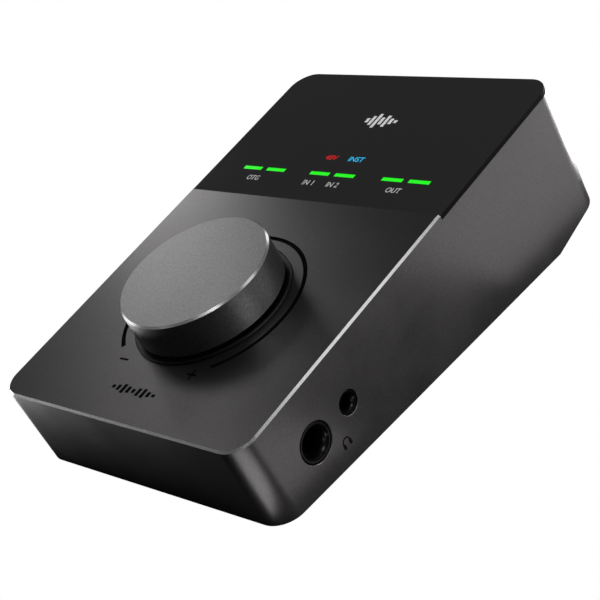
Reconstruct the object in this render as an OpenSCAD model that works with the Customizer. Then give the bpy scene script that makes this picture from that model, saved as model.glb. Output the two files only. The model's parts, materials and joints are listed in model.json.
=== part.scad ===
// Desktop audio interface: a wedge-shaped metal housing with one large push-and-turn knob,
// a black display panel, headphone sockets in the right side and line connectors at the rear.
// Units are millimetres. X runs to the right, Y to the rear, Z up. The origin is on the table,
// under the middle of the bounding box. Most pieces are laid out in the frame of the sloping
// top face: x across, u along the slope from the front edge, n square to it.

/* [Body] */
// Overall width across the side faces
body_w = 100; // [96:1:130]
// Length of the top face along its slope
body_l = 149.4; // [120:0.1:190]
// Thickness at the front edge, square to the top face
front_t = 26.9; // [25:0.1:38]
// Height of the rear panel, square to the top face
rear_t = 41.6; // [38:0.1:56]
// Slope of the top face in degrees
tilt = 8.19; // [4:0.01:12]
// Plan radius of the upright corners
corner_r = 7.3; // [5:0.1:12]
// Distance behind the front edge where the underside starts to rise
bevel_back = 24.6; // [15:0.1:35]
// Wall thickness of the housing
wall = 2.5; // [2:0.1:3.5]
// Thickness of the top plate
top_t = 3.5; // [3:0.1:4]
// Width of the bright bevel round the top edge
edge_c = 0.58; // [0.3:0.01:1.2]
// Thickness of the base tray
base_t = 2; // [1.5:0.1:3]

/* [Display panel] */
// Share of the top face in front of the display panel
panel_share = 0.6; // [0.5:0.01:0.7]
// Thickness of the display panel
panel_t = 1.5; // [1:0.1:2]
// Depth of the panel face below the metal top
panel_sink = 0.35; // [0:0.05:0.6]
// Length of one level bar
bar_w = 7.8; // [5:0.1:9]
// Height of one level bar
bar_h = 1.5; // [0.8:0.05:2.5]
// Spacing of the two bars of one pair
bar_pitch = 10; // [9.5:0.1:11]
// Spacing of the three pairs
pair_pitch = 28.5; // [22:0.5:32]
// Shift of all the bars to the right
bar_shift = 0.4; // [-2:0.1:2]
// Distance of the bars behind the panel's front edge
bar_back = 12.4; // [10:0.1:20]
// Distance of the lit legends behind the panel's front edge
legend_back = 19.7; // [17:0.1:28]

/* [Knob] */
// Radius of the knob
knob_r = 22.5; // [15:0.1:27]
// Height of the knob face above the top plate
knob_h = 12.5; // [11:0.1:18]
// Width of the bevel round the knob face
knob_c = 0.55; // [0.2:0.05:1.5]
// Distance of the knob axis behind the front edge
knob_u = 45.4; // [38:0.1:55]
// Press travel of the knob
knob_press = 0.5; // [0.3:0.1:0.6]
// Distance from the knob's side to the engraved level arc
arc_gap = 5.2; // [3:0.1:8]
// Width of the engraved level arc
arc_w = 1.1; // [0.5:0.1:2]

/* [Sockets] */
// Distance of the large headphone socket behind the front edge
phones_u = 20.8; // [20:0.1:30]
// Distance between the two headphone sockets
phones_pitch = 14.4; // [11:0.1:20]
// Depth of the socket axes below the top face
jack_n = 16.5; // [16.5:0.1:20]
// Nose radius of a 6.35 mm socket
nose_r = 5.65; // [5:0.05:5.8]
// Hole radius of a 6.35 mm socket
bore_r = 3.2; // [3.18:0.01:3.4]
// Nose radius of the 3.5 mm socket
small_nose_r = 3.35; // [2.8:0.05:3.5]
// Hole radius of the 3.5 mm socket
small_bore_r = 1.8; // [1.76:0.01:1.9]
// Length of a 6.35 mm socket body behind the wall
jack_l = 28; // [24:0.5:32]
// Press travel of a rear button
button_press = 1; // [0.5:0.1:1.2]

/* [Feet and screws] */
// Height of the feet below the base
foot_h = 1.6; // [1:0.1:4]
// Radius of the feet
foot_r = 6; // [4:0.5:8]
// Thread radius of the screws
screw_r = 1.45; // [1.2:0.05:1.5]

/* [Hidden] */
$fn = 96;
hw = body_w / 2;
sx = body_w / 100;
k = tan(tilt);
arc_r = knob_r + arc_gap;
mark_r = knob_r + 6;
mark_at = [mark_r * sin(29.4), knob_u - mark_r * cos(29.4)];
bevel_u = body_l - bevel_back;
bevel_d = front_t + k * bevel_u;
rise = (rear_t - bevel_d) / bevel_back;
total_y = body_l * cos(tilt) + rear_t * sin(tilt);
panel_u = body_l * panel_share;
ledge = panel_t + panel_sink;
board_top = top_t + 5.5;
board_bot = board_top + 1.6;
bars_u = panel_u + bar_back;
legend_u = panel_u + legend_back;
bars = [for (p = [-1:1], s = [-1, 1]) bar_shift + p * pair_pitch * sx + s * bar_pitch / 2];
legend_x = [-5.4, 4.6];
inner = hw - wall;
board_hw = inner - 3;
board_u1 = body_l - wall - 0.9;
post_x = inner - 3.9;
post_r = 4;
post_y = [front_t * sin(tilt) + wall + 3.17, bevel_u * cos(tilt) - 3.4];
post_u1 = (post_y[1] - board_top * sin(tilt)) / cos(tilt);
board_u0 = (post_y[0] - board_top * sin(tilt)) / cos(tilt) + post_r + 0.7;
tray_a = base_t / cos(tilt);
tray_b = base_t * sqrt(1 + rise * rise);
tray_u = (tray_a - tray_b + bevel_d - front_t - rise * bevel_u) / (k - rise);
boss_xu = [
    [-inner + 11.5, 20], [8, 18], [-inner + 11.5, 80], [inner - 11.5, 80],
    [-board_hw + 3, panel_u + 4.6], [board_hw - 3, panel_u + 4.6]
];
foot_xy = [for (s = [-1, 1], y = [post_y[0] + 9.5, bevel_u * cos(tilt) - 16]) [s * (hw - 15), y]];
// upper row of the rear panel: what the sockets leave free is shared out beside and between them
combo_side = 6.8;
line_step = 4.7;
line_side = 12.1;
combo_w = 25.4;
combo_l = 21;
combo_n = board_bot + 13.5;
jack_hw = 5.9;
spacer_gap = 5.9;
spread = (2 * inner - combo_w - 6 * jack_hw - spacer_gap) / (combo_side + 2 * line_step + line_side);
combo_x = -inner + combo_side * spread + combo_w / 2;
gap_x = combo_x + combo_w / 2 + spacer_gap / 2;
line_x = [for (i = [0:2]) gap_x + spacer_gap / 2 + jack_hw + i * (2 * jack_hw + line_step * spread)];
spacer_r = 2.4;
// lower row: two buttons and two flat ports, shared out over the lower board
switch_step = 2.5;
port_gap = 4.03;
port_step = 4.56;
port_side = 8.03;
io_n = rear_t - 7.6;
io_x1 = inner - 4;
switch_w = 8;
usb_w = 8.94;
low_x0 = gap_x + spacer_r + 0.45;
low_room = switch_step + port_gap + port_step + port_side;
low_spread = (io_x1 - low_x0 - 2 * switch_w - 2 * usb_w) / low_room;
button_x = [low_x0 + switch_w / 2, low_x0 + switch_w * 1.5 + switch_step * low_spread];
button_n = io_n - 3.7;
usb_x0 = button_x[1] + (switch_w + usb_w) / 2 + port_gap * low_spread;
usb_x = [usb_x0, usb_x0 + usb_w + port_step * low_spread];
usb_n = io_n - 1.63;
io_u0 = body_l - wall - 38;
spacer_xu = [
    [gap_x, io_u0 + 3.2], [gap_x, body_l - wall - 5.9],
    [inner - 11.5, io_u0 + 3.2], [io_x1 - 3, body_l - wall - 11.5]
];
can_x = -board_hw + 7.5;
sleeve_l = 9;

// Which node to draw

// ---- frames ----

module in_base() {
    translate([0, -total_y / 2, foot_h]) children();
}

module in_top() {
    translate([0, -total_y / 2, foot_h + front_t * cos(tilt)]) rotate([tilt, 0, 0]) children();
}

module at_side(u, n) {
    translate([hw, u, -n]) rotate([0, 90, 0]) rotate([0, 0, -90]) children();
}

module at_rear(x, n) {
    translate([x, body_l, -n]) rotate([-90, 0, 0]) children();
}

// ---- shared shapes ----

// a box given by its low and high corners
module box(a, b) {
    translate(a) cube([b[0] - a[0], b[1] - a[1], b[2] - a[2]]);
}

// plan of the body, drawn inside its outer face by d
module plan(d) {
    r = corner_r - d;
    translate([-hw + corner_r, d]) square([body_w - 2 * corner_r, body_l - 2 * d]);
    translate([-hw + d, corner_r]) square([body_w - 2 * d, body_l - 2 * corner_r]);
    for (x = [-hw + corner_r, hw - corner_r], y = [corner_r, body_l - corner_r])
        translate([x, y]) circle(r);
}

module prism(d, lo, hi) {
    translate([0, 0, -lo]) linear_extrude(lo - hi) plan(d);
}

// a side outline, given as [u, n] points, drawn right across the body
module across(points) {
    translate([-hw - 5, 0, 0]) rotate([90, 0, 90]) linear_extrude(body_w + 10) polygon(points);
}

// depth of the underside at u, in front of and behind the crease
function base_n(u) = -(front_t + k * u);
function bevel_n(u) = -(bevel_d + rise * (u - bevel_u));

module tube(r0, r1, a, b) {
    translate([0, 0, a]) difference() {
        cylinder(h = b - a, r = r1);
        translate([0, 0, -1]) cylinder(h = b - a + 2, r = r0);
    }
}

module slot2(w, h) {
    translate([-(w - h) / 2, -h / 2]) square([w - h, h]);
    for (s = [-1, 1]) translate([s * (w - h) / 2, 0]) circle(h / 2);
}

// socket body along Z with its mouth at z = 0; +Y points away from the board
module socket(nr, br, sr, len, w, up, down) {
    difference() {
        union() {
            translate([-w / 2, -up, -wall - len]) cube([w, up + down, len]);
            translate([0, 0, -wall - 1]) cylinder(h = wall + 0.8, r = nr);
        }
        translate([0, 0, -wall - len + 2]) cylinder(h = len + wall, r = br);
        translate([0, 0, -sleeve_l - 0.35]) cylinder(h = sleeve_l + 2, r = sr);
    }
}

// metal lining of a socket mouth
module sleeve(br, sr, mouth) {
    difference() {
        translate([0, 0, -sleeve_l - 0.35]) cylinder(h = sleeve_l, r = sr);
        translate([0, 0, -sleeve_l - 1]) cylinder(h = sleeve_l + 2, r = br);
        translate([0, 0, -0.35 - mouth]) cylinder(h = mouth + 0.01, r1 = br, r2 = br + mouth + 0.01);
    }
}

// ---- housing and covers ----

module edge_cutter() {
    tri = [[-edge_c - 1, 1], [0.5, 1], [0.5, -edge_c - 0.5]];
    for (s = [0, 1]) mirror([s, 0, 0]) {
        translate([hw, panel_u + 1, 0]) rotate([90, 0, 0])
            linear_extrude(panel_u + 1 - corner_r) polygon(tri);
        translate([hw - corner_r, corner_r, 0]) rotate([0, 0, -90])
            rotate_extrude(angle = 90) translate([corner_r, 0]) polygon(tri);
    }
    translate([-hw + corner_r, 0, 0]) rotate([90, 0, 90]) linear_extrude(body_w - 2 * corner_r)
        polygon([[edge_c + 1, 1], [-0.5, 1], [-0.5, -edge_c - 0.5]]);
}

module housing_shell() {
    difference() {
        intersection() {
            prism(0, 70, 0);
            across([[-2, 2], [body_l + 2, 2], [body_l + 2, bevel_n(body_l + 2)],
                [bevel_u, -bevel_d], [-2, base_n(-2)]]);
        }
        prism(wall, 80, top_t);
        edge_cutter();
        box([-hw - 1, panel_u, -ledge], [hw + 1, body_l + 1, 2]);
    }
}

module housing() {
    color([0.22, 0.22, 0.23])
    difference() {
        union() {
            in_top() housing_shell();
            in_top() for (p = boss_xu)
                translate([p[0], p[1], -board_top]) cylinder(h = board_top - top_t + 0.5, r = 3);
            in_base() for (s = [-1, 1], y = post_y) translate([s * post_x, y, base_t])
                cylinder(h = front_t * cos(tilt) + y * k - (top_t - 0.8) / cos(tilt) - base_t, r = post_r);
        }
        in_base() for (s = [-1, 1], y = post_y)
            translate([s * post_x, y, -1]) cylinder(h = 12, r = screw_r + 0.05);
        in_top() {
            for (p = boss_xu)
                translate([p[0], p[1], -board_top - 1]) cylinder(h = 5, r = screw_r + 0.05);
            translate([0, knob_u, -top_t - 1]) cylinder(h = top_t + 3, r = 3.75);
            for (x = bars) translate([x, bars_u, -top_t / 2 - 2])
                cube([bar_w + 0.4, bar_h + 0.4, top_t + 2], center = true);
            for (x = legend_x) translate([x, legend_u, -top_t / 2 - 2])
                cube([6.2, 3.2, top_t + 2], center = true);
            translate([0, knob_u, -0.3]) rotate([0, 0, -49.4]) rotate_extrude(angle = 277.6)
                translate([arc_r - arc_w / 2, 0]) square([arc_w, 1]);
            for (s = [-1, 1]) translate([s * mark_at[0], mark_at[1], 0]) cube([2.8, 0.6, 0.4], center = true);
            translate([mark_at[0], mark_at[1], 0]) cube([0.6, 2.8, 0.4], center = true);
            at_side(phones_u, jack_n) translate([0, 0, -wall - 1]) cylinder(h = wall + 3, r = nose_r + 0.1);
            at_side(phones_u + phones_pitch, jack_n) translate([0, 0, -wall - 1])
                cylinder(h = wall + 3, r = small_nose_r + 0.1);
            for (x = line_x) at_rear(x, jack_n) translate([0, 0, -wall - 1])
                cylinder(h = wall + 3, r = nose_r + 0.1);
            at_rear(combo_x, combo_n) translate([0, 0, -wall - 1]) cylinder(h = wall + 3, r = 11.85);
            at_rear(combo_x, combo_n) for (s = [-1, 1]) translate([s * 10.2, s * 10.7, 0]) {
                translate([0, 0, -wall - 1]) cylinder(h = wall + 2, r = 1.45);
                translate([0, 0, -1.4]) cylinder(h = 1.6, r1 = 1.3, r2 = 2.9);
            }
            for (x = usb_x) at_rear(x, usb_n) translate([0, 0, -wall - 1])
                linear_extrude(wall + 3) slot2(usb_w + 0.46, 3.72);
            for (x = button_x) at_rear(x, button_n) translate([0, 0, -wall - 1])
                cylinder(h = wall + 3, r = 2.8);
        }
    }
}

module cover_panel() {
    color([0.03, 0.03, 0.03])
    in_top() difference() {
        prism(0, ledge, panel_sink);
        box([-hw - 1, -1, -10], [hw + 1, panel_u + 0.08, 1]);
        for (x = bars) translate([x, bars_u, 0]) cube([bar_w + 0.1, bar_h + 0.1, 10], center = true);
    }
}

module base_tray() {
    color([0.1, 0.1, 0.1])
    difference() {
        in_top() intersection() {
            prism(wall + 0.12, 70, 0);
            across([[-2, base_n(-2)], [bevel_u, -bevel_d], [body_l + 2, bevel_n(body_l + 2)],
                [body_l + 2, bevel_n(body_l + 2) + tray_b], [tray_u, base_n(tray_u) + tray_a],
                [-2, base_n(-2) + tray_a]]);
        }
        in_base() for (s = [-1, 1], y = post_y) translate([s * post_x, y, 0]) {
            translate([0, 0, -1]) cylinder(h = base_t + 2, r = screw_r + 0.2);
            translate([0, 0, -0.01]) cylinder(h = 1.5, r1 = screw_r + 1.6, r2 = screw_r + 0.1);
        }
        in_base() for (p = foot_xy) translate([p[0], p[1], -1]) cylinder(h = 1.5, r = foot_r + 0.1);
    }
}

module base_screws() {
    color([0.5, 0.5, 0.52])
    in_base() for (s = [-1, 1], y = post_y) translate([s * post_x, y, 0.1]) difference() {
        union() {
            cylinder(h = 1.4, r1 = screw_r + 1.4, r2 = screw_r);
            cylinder(h = 9.5, r = screw_r);
        }
        translate([0, 0, -1]) cylinder(h = 1.9, r = 1, $fn = 6);
    }
}

module feet() {
    color([0.06, 0.06, 0.06])
    in_base() for (p = foot_xy) translate([p[0], p[1], 0]) {
        translate([0, 0, -foot_h + 0.4]) cylinder(h = foot_h + 0.1, r = foot_r);
        translate([0, 0, -foot_h]) cylinder(h = 0.4, r1 = foot_r - 0.4, r2 = foot_r);
    }
}

module rating_label() {
    color([0.55, 0.56, 0.58])
    in_base() box([-26, total_y * 0.42, -0.13], [26, total_y * 0.42 + 26, -0.01]);
}

module knob_ring() {
    color([0.06, 0.06, 0.065])
    in_top() translate([0, knob_u, 0]) difference() {
        union() {
            cylinder(h = 0.5, r = knob_r + 1.4);
            translate([0, 0, 0.5]) cylinder(h = 0.4, r1 = knob_r + 1.4, r2 = knob_r + 1);
        }
        translate([0, 0, -1]) cylinder(h = 3, r = knob_r - 2.5);
    }
}

// ---- lights ----

module light_bars() {
    color([0.1, 0.95, 0.15])
    in_top() for (x = bars) translate([x - bar_w / 2, bars_u - bar_h / 2, -board_top + 1.3])
        cube([bar_w, bar_h, board_top - 1.3 - panel_sink]);
}

module legend_pipe(i) {
    in_top() translate([legend_x[i] - 2.9, legend_u - 1.4, -board_top + 1.3])
        cube([5.8, 2.8, board_top - 1.3 - ledge - 0.02]);
}

module light_shroud() {
    color([0.05, 0.05, 0.05])
    in_top() difference() {
        union() {
            box([bars[0] - 6, bars_u - 3.4, -board_top], [bars[5] + 6, bars_u + 3.4, -top_t]);
            box([legend_x[0] - 4.2, bars_u + 3, -board_top], [legend_x[1] + 4.2, legend_u + 3.2, -top_t]);
        }
        for (x = bars) translate([x, bars_u, -board_top])
            cube([bar_w + 0.2, bar_h + 0.6, 30], center = true);
        for (x = legend_x) translate([x, legend_u, -board_top]) cube([6, 3, 30], center = true);
    }
}

module indicator_leds() {
    color([0.85, 0.85, 0.8])
    in_top() {
        for (x = bars) translate([x - 1.6, bars_u - 0.6, -board_top]) cube([3.2, 1.2, 1]);
        for (x = legend_x) translate([x - 1.6, legend_u - 0.8, -board_top]) cube([3.2, 1.6, 1]);
    }
}

// ---- boards ----

module main_board() {
    color([0.05, 0.25, 0.12])
    in_top() difference() {
        box([-board_hw, board_u0, -board_bot], [board_hw, board_u1, -board_top]);
        for (s = [0, 1]) mirror([s, 0, 0])
            box([post_x - post_r - 0.8, post_u1 - 6, -board_bot - 1], [hw, post_u1 + 6, -board_top + 1]);
        for (p = boss_xu) translate([p[0], p[1], -board_bot - 1]) cylinder(h = 4, r = screw_r + 0.2);
        for (p = spacer_xu) translate([p[0], p[1], -board_bot - 1]) cylinder(h = 4, r = 1.6);
    }
}

module board_screws() {
    color([0.75, 0.75, 0.77])
    in_top() for (p = boss_xu) translate([p[0], p[1], 0]) difference() {
        union() {
            translate([0, 0, -board_bot - 2]) cylinder(h = 2, r = 2.7);
            translate([0, 0, -board_bot - 1]) cylinder(h = 6, r = screw_r);
        }
        translate([0, 0, -board_bot - 3]) cylinder(h = 2.2, r = 1, $fn = 6);
    }
}

module io_board() {
    color([0.05, 0.22, 0.12])
    in_top() difference() {
        union() {
            box([combo_x + combo_w / 2 + 0.3, io_u0, -io_n - 1.6], [post_x - post_r - 0.6, board_u1, -io_n]);
            box([0, post_u1 + 7, -io_n - 1.6], [io_x1, board_u1, -io_n]);
        }
        for (p = spacer_xu) translate([p[0], p[1], -io_n - 2]) cylinder(h = 4, r = 1.6);
    }
}

module spacers() {
    color([0.8, 0.72, 0.4])
    in_top() for (p = spacer_xu) translate([p[0], p[1], 0]) tube(1.3, spacer_r, -io_n, -board_bot);
}

module spacer_screws() {
    color([0.75, 0.75, 0.77])
    in_top() for (p = spacer_xu) translate([p[0], p[1], 0]) {
        translate([0, 0, -io_n - 3.2]) cylinder(h = 1.6, r = 2.2);
        translate([0, 0, -io_n - 2]) cylinder(h = 7, r = 1.25);
        translate([0, 0, -board_top]) cylinder(h = 1.6, r = 2.2);
        translate([0, 0, -board_top - 6]) cylinder(h = 6.5, r = 1.25);
    }
}

module link_sockets() {
    color([0.85, 0.83, 0.78])
    in_top() difference() {
        for (n = [board_bot + 4, io_n]) box([2, io_u0 + 1, -n], [26, io_u0 + 5, -n + 4]);
        box([3, io_u0 + 2.7, -io_n + 1], [25, io_u0 + 3.3, -board_bot - 1]);
    }
}

module link_cable() {
    color([0.8, 0.82, 0.86])
    in_top() box([4, io_u0 + 2.8, -io_n + 1], [24, io_u0 + 3.2, -board_bot - 1]);
}

module main_chips() {
    color([0.07, 0.07, 0.07])
    in_top() {
        box([-12, 53, -board_bot - 1.4], [2, 67, -board_bot]);
        for (u = [42, 66]) box([-30, u, -board_bot - 1], [-21, u + 9, -board_bot]);
        box([6, 86, -board_bot - 1.2], [16, 92, -board_bot]);
        box([18, io_u0 + 8, -io_n], [27, io_u0 + 17, -io_n + 1]);
    }
}

module capacitors() {
    color([0.72, 0.72, 0.74])
    in_top() for (p = [[10, 76], [20, 76], [20, 66], [30, 66], [-30, 30], [-20, 30]])
        translate([p[0] * sx, p[1], -board_bot - 7.7]) cylinder(h = 7.7, r = 3.15);
}

module crystal() {
    color([0.78, 0.78, 0.8])
    in_top() translate([-1, 76, -board_bot - 3.5]) linear_extrude(3.5) slot2(11, 4.6);
}

module inductors() {
    color([0.15, 0.15, 0.15])
    in_top() for (u = [85, 95]) box([22 * sx, u, -board_bot - 4], [22 * sx + 7, u + 7, -board_bot]);
}

module shield_can() {
    color([0.75, 0.76, 0.78])
    in_top() difference() {
        box([can_x, 86, -board_bot - 5], [can_x + 25, 108, -board_bot]);
        box([can_x + 0.4, 86.4, -board_bot - 4.6], [can_x + 24.6, 107.6, -board_bot + 1]);
    }
}

// ---- encoder and knob ----

module encoder_body() {
    color([0.12, 0.12, 0.13])
    in_top() translate([0, knob_u, 0]) difference() {
        box([-6.2, -6.6, -board_top], [6.2, 6.6, -top_t - 0.8]);
        translate([0, 0, -board_top + 0.5]) cylinder(h = 10, r = 3.4);
    }
}

module encoder_bushing() {
    color([0.7, 0.7, 0.72])
    in_top() translate([0, knob_u, 0]) difference() {
        union() {
            box([-6.2, -6.6, -top_t - 0.8], [6.2, 6.6, -top_t]);
            translate([0, 0, -top_t - 0.5]) cylinder(h = top_t + 4.3, r = 3.5);
        }
        translate([0, 0, -top_t - 2]) cylinder(h = top_t + 8, r = 3.05);
    }
}

module encoder_washer() {
    color([0.7, 0.7, 0.72])
    in_top() translate([0, knob_u, 0]) tube(3.6, 6, 0, 0.5);
}

module encoder_nut() {
    color([0.7, 0.7, 0.72])
    in_top() translate([0, knob_u, 0.5]) difference() {
        cylinder(h = 2.2, r = 5.77, $fn = 6);
        translate([0, 0, -1]) cylinder(h = 5, r = 3.55);
    }
}

module encoder_plunger() {
    color([0.85, 0.85, 0.82])
    in_top() translate([0, knob_u, -board_top + 0.5 + knob_press + 0.1]) {
        cylinder(h = 0.9, r = 3.3);
        cylinder(h = 1.5, r = 1.5);
    }
}

module encoder_shaft() {
    color([0.78, 0.78, 0.8])
    in_top() translate([0, knob_u, 0]) difference() {
        translate([0, 0, -board_top + knob_press + 2.15])
            cylinder(h = board_top - knob_press - 2.15 + knob_h - 3, r = 3);
        box([1.5, -5, 4.8], [5, 5, knob_h]);
    }
}

module knob_insert() {
    color([0.1, 0.1, 0.1])
    in_top() translate([0, knob_u, 0]) difference() {
        union() {
            translate([0, 0, 5]) cylinder(h = knob_h - 7.6, r = 6);
            translate([0, 0, knob_h - 4.6]) cylinder(h = 2, r = knob_r - 2.05);
        }
        difference() {
            translate([0, 0, 4]) cylinder(h = knob_h - 6.8, r = 3.02);
            box([1.52, -5, 3], [5, 5, knob_h]);
        }
    }
}

module knob_cap() {
    color([0.32, 0.32, 0.33])
    in_top() translate([0, knob_u, 0]) difference() {
        union() {
            translate([0, 0, 1.6]) cylinder(h = knob_h - 1.6 - knob_c, r = knob_r);
            translate([0, 0, knob_h - knob_c]) cylinder(h = knob_c, r1 = knob_r, r2 = knob_r - knob_c);
        }
        translate([0, 0, 0]) cylinder(h = knob_h - 2.5, r = knob_r - 2);
    }
}

// ---- sockets ----

module phones_jack() {
    color([0.05, 0.05, 0.05])
    in_top() at_side(phones_u, jack_n)
        socket(nose_r, bore_r, 4.45, jack_l, 2 * jack_hw, jack_n - board_bot, 5.9);
}

module phones_sleeve() {
    color([0.8, 0.78, 0.7])
    in_top() at_side(phones_u, jack_n) sleeve(bore_r, 4.42, 0.7);
}

module small_jack() {
    color([0.05, 0.05, 0.05])
    in_top() at_side(phones_u + phones_pitch, jack_n)
        socket(small_nose_r, small_bore_r, 2.65, 13, 7, jack_n - board_bot, 3.6);
}

module small_sleeve() {
    color([0.8, 0.78, 0.7])
    in_top() at_side(phones_u + phones_pitch, jack_n) sleeve(small_bore_r, 2.62, 0.3);
}

module rear_jacks() {
    color([0.05, 0.05, 0.05])
    in_top() for (x = line_x) at_rear(x, jack_n)
        socket(nose_r, bore_r, 4.45, jack_l - 3, 2 * jack_hw, jack_n - board_bot, 5.9);
}

module rear_sleeves() {
    color([0.8, 0.78, 0.7])
    in_top() for (x = line_x) at_rear(x, jack_n) sleeve(bore_r, 4.42, 0.7);
}

module combo_socket() {
    color([0.06, 0.06, 0.06])
    in_top() at_rear(combo_x, combo_n) difference() {
        union() {
            translate([-combo_w / 2, -13.5, -wall - combo_l]) cube([combo_w, 27, combo_l]);
            translate([0, 0, -wall - 1]) cylinder(h = wall + 0.7, r = 11.6);
        }
        tube(7.8, 9.9, -14, 1);
        translate([0, 0, -1]) cylinder(h = 3, r = 8);
        translate([0, 0, -wall - combo_l + 1.5]) cylinder(h = 30, r = bore_r);
        for (a = [30, 150, 270]) rotate([0, 0, a]) translate([5.7, 0, -13]) cylinder(h = 20, r = 1.4);
        for (s = [-1, 1]) translate([s * 10.2, s * 10.7, -wall - 9]) cylinder(h = 20, r = 1.25);
    }
}

module combo_contacts() {
    color([0.85, 0.75, 0.4])
    in_top() at_rear(combo_x, combo_n) for (a = [30, 150, 270])
        rotate([0, 0, a]) translate([5.7, 0, 0]) tube(0.9, 1.36, -13, -3);
}

module combo_screws() {
    color([0.15, 0.15, 0.16])
    in_top() at_rear(combo_x, combo_n) for (s = [-1, 1]) translate([s * 10.2, s * 10.7, 0]) difference() {
        union() {
            translate([0, 0, -1.4]) cylinder(h = 1.3, r1 = 1.2, r2 = 2.5);
            translate([0, 0, -8]) cylinder(h = 7, r = 1.2);
        }
        translate([0, 0, -0.9]) cylinder(h = 2, r = 0.8, $fn = 6);
    }
}

module usb_ports() {
    color([0.75, 0.75, 0.77])
    in_top() for (x = usb_x) at_rear(x, usb_n) difference() {
        translate([0, 0, -7.6]) linear_extrude(7.4) slot2(usb_w, 3.26);
        translate([0, 0, -7.2]) linear_extrude(9) slot2(usb_w - 0.6, 2.66);
    }
}

module usb_tongues() {
    color([0.08, 0.08, 0.08])
    in_top() for (x = usb_x) at_rear(x, usb_n) {
        translate([0, 0, -7.2]) linear_extrude(1.6) slot2(usb_w - 0.64, 2.62);
        translate([-3.35, -0.35, -6]) cube([6.7, 0.7, 5.2]);
    }
}

module switch_bodies() {
    color([0.08, 0.08, 0.09])
    in_top() for (x = button_x) at_rear(x, button_n) difference() {
        translate([-switch_w / 2, -3.7, -wall - 11.5]) cube([switch_w, 7.4, 10]);
        translate([0, 0, -wall - 10]) cylinder(h = 20, r = 1.85);
    }
}

module button(i) {
    in_top() at_rear(button_x[i], button_n) {
        translate([0, 0, -wall - 8.8]) cylinder(h = 9, r = 1.8);
        translate([0, 0, -wall - 0.3]) cylinder(h = wall + 1, r = 2.6);
        translate([0, 0, 0.7]) cylinder(h = 0.4, r1 = 2.6, r2 = 2.2);
    }
}

module button_48v() {
    color([0.6, 0.1, 0.1]) button(0);
}

module button_inst() {
    color([0.1, 0.1, 0.11]) button(1);
}

module legend_pipe_red() {
    color([0.95, 0.1, 0.1]) legend_pipe(0);
}

module legend_pipe_blue() {
    color([0.2, 0.8, 1]) legend_pipe(1);
}

housing();
cover_panel();
light_bars();
legend_pipe_red();
legend_pipe_blue();
light_shroud();
indicator_leds();
knob_ring();
base_tray();
base_screws();
feet();
rating_label();
main_board();
board_screws();
encoder_body();
encoder_bushing();
encoder_washer();
encoder_nut();
phones_jack();
phones_sleeve();
small_jack();
small_sleeve();
rear_jacks();
rear_sleeves();
combo_socket();
combo_contacts();
combo_screws();
usb_ports();
usb_tongues();
io_board();
spacers();
spacer_screws();
switch_bodies();
link_sockets();
link_cable();
main_chips();
capacitors();
crystal();
inductors();
shield_can();
button_48v();
button_inst();
encoder_plunger();
encoder_shaft();
knob_insert();
knob_cap();
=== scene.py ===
"""Desktop audio interface: the looks of a wedge-shaped metal housing with one large knob, a black display
panel, headphone sockets in the right side and line connectors at the rear, built round the CAD frame."""

import json
import math
from contextlib import contextmanager

import bpy
from mathutils import Matrix, Vector


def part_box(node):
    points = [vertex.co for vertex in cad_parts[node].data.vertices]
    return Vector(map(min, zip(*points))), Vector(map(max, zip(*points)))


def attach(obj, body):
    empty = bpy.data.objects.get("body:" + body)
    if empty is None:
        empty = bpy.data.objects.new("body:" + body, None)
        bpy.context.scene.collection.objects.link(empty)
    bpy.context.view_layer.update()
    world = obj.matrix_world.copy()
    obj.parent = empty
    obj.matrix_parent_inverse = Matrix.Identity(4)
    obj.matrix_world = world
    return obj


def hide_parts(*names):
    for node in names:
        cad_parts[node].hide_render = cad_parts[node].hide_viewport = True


bl_info = {
    "name": "Audio interface",
    "version": (1, 0, 0),
    "blender": (4, 5, 0),
    "location": "View3D > Sidebar > Interface",
    "description": "Models and finishes the pieces of a desktop audio interface round its CAD frame",
    "category": "Object",
}

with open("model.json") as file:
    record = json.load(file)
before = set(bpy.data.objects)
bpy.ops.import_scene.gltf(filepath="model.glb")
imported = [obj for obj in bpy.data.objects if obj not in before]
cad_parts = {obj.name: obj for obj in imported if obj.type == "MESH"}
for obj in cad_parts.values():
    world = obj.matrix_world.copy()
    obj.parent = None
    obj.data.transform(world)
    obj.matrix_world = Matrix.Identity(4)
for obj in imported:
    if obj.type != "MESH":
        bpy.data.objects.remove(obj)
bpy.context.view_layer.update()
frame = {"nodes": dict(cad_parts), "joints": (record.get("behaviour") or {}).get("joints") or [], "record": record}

MM = 0.001
CAD = frame["nodes"]
JOINTS = {joint["name"]: joint for joint in frame["joints"]}
MOUNTS = {mount["name"]: mount for mount in frame["record"]["mounts"]}


# ---- places, all read from the frame ----


def slope_frame():
    """The frame of the sloping top face: x across, y up the slope from the front edge, z out of the face."""
    rearward = Vector(MOUNTS["input_2"]["axis"])
    turn = Matrix.Rotation(math.atan2(rearward.z, rearward.y), 4, "X")
    knob_foot = Vector(JOINTS["knob_turn"]["pos_m"])
    back = turn.inverted()
    front = min((back @ (v.co - knob_foot)).y for v in CAD["housing"].data.vertices)
    return Matrix.Translation(knob_foot + turn @ Vector((0, front, 0))) @ turn


SLOPE = slope_frame()
FLAT = SLOPE.inverted()


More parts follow.
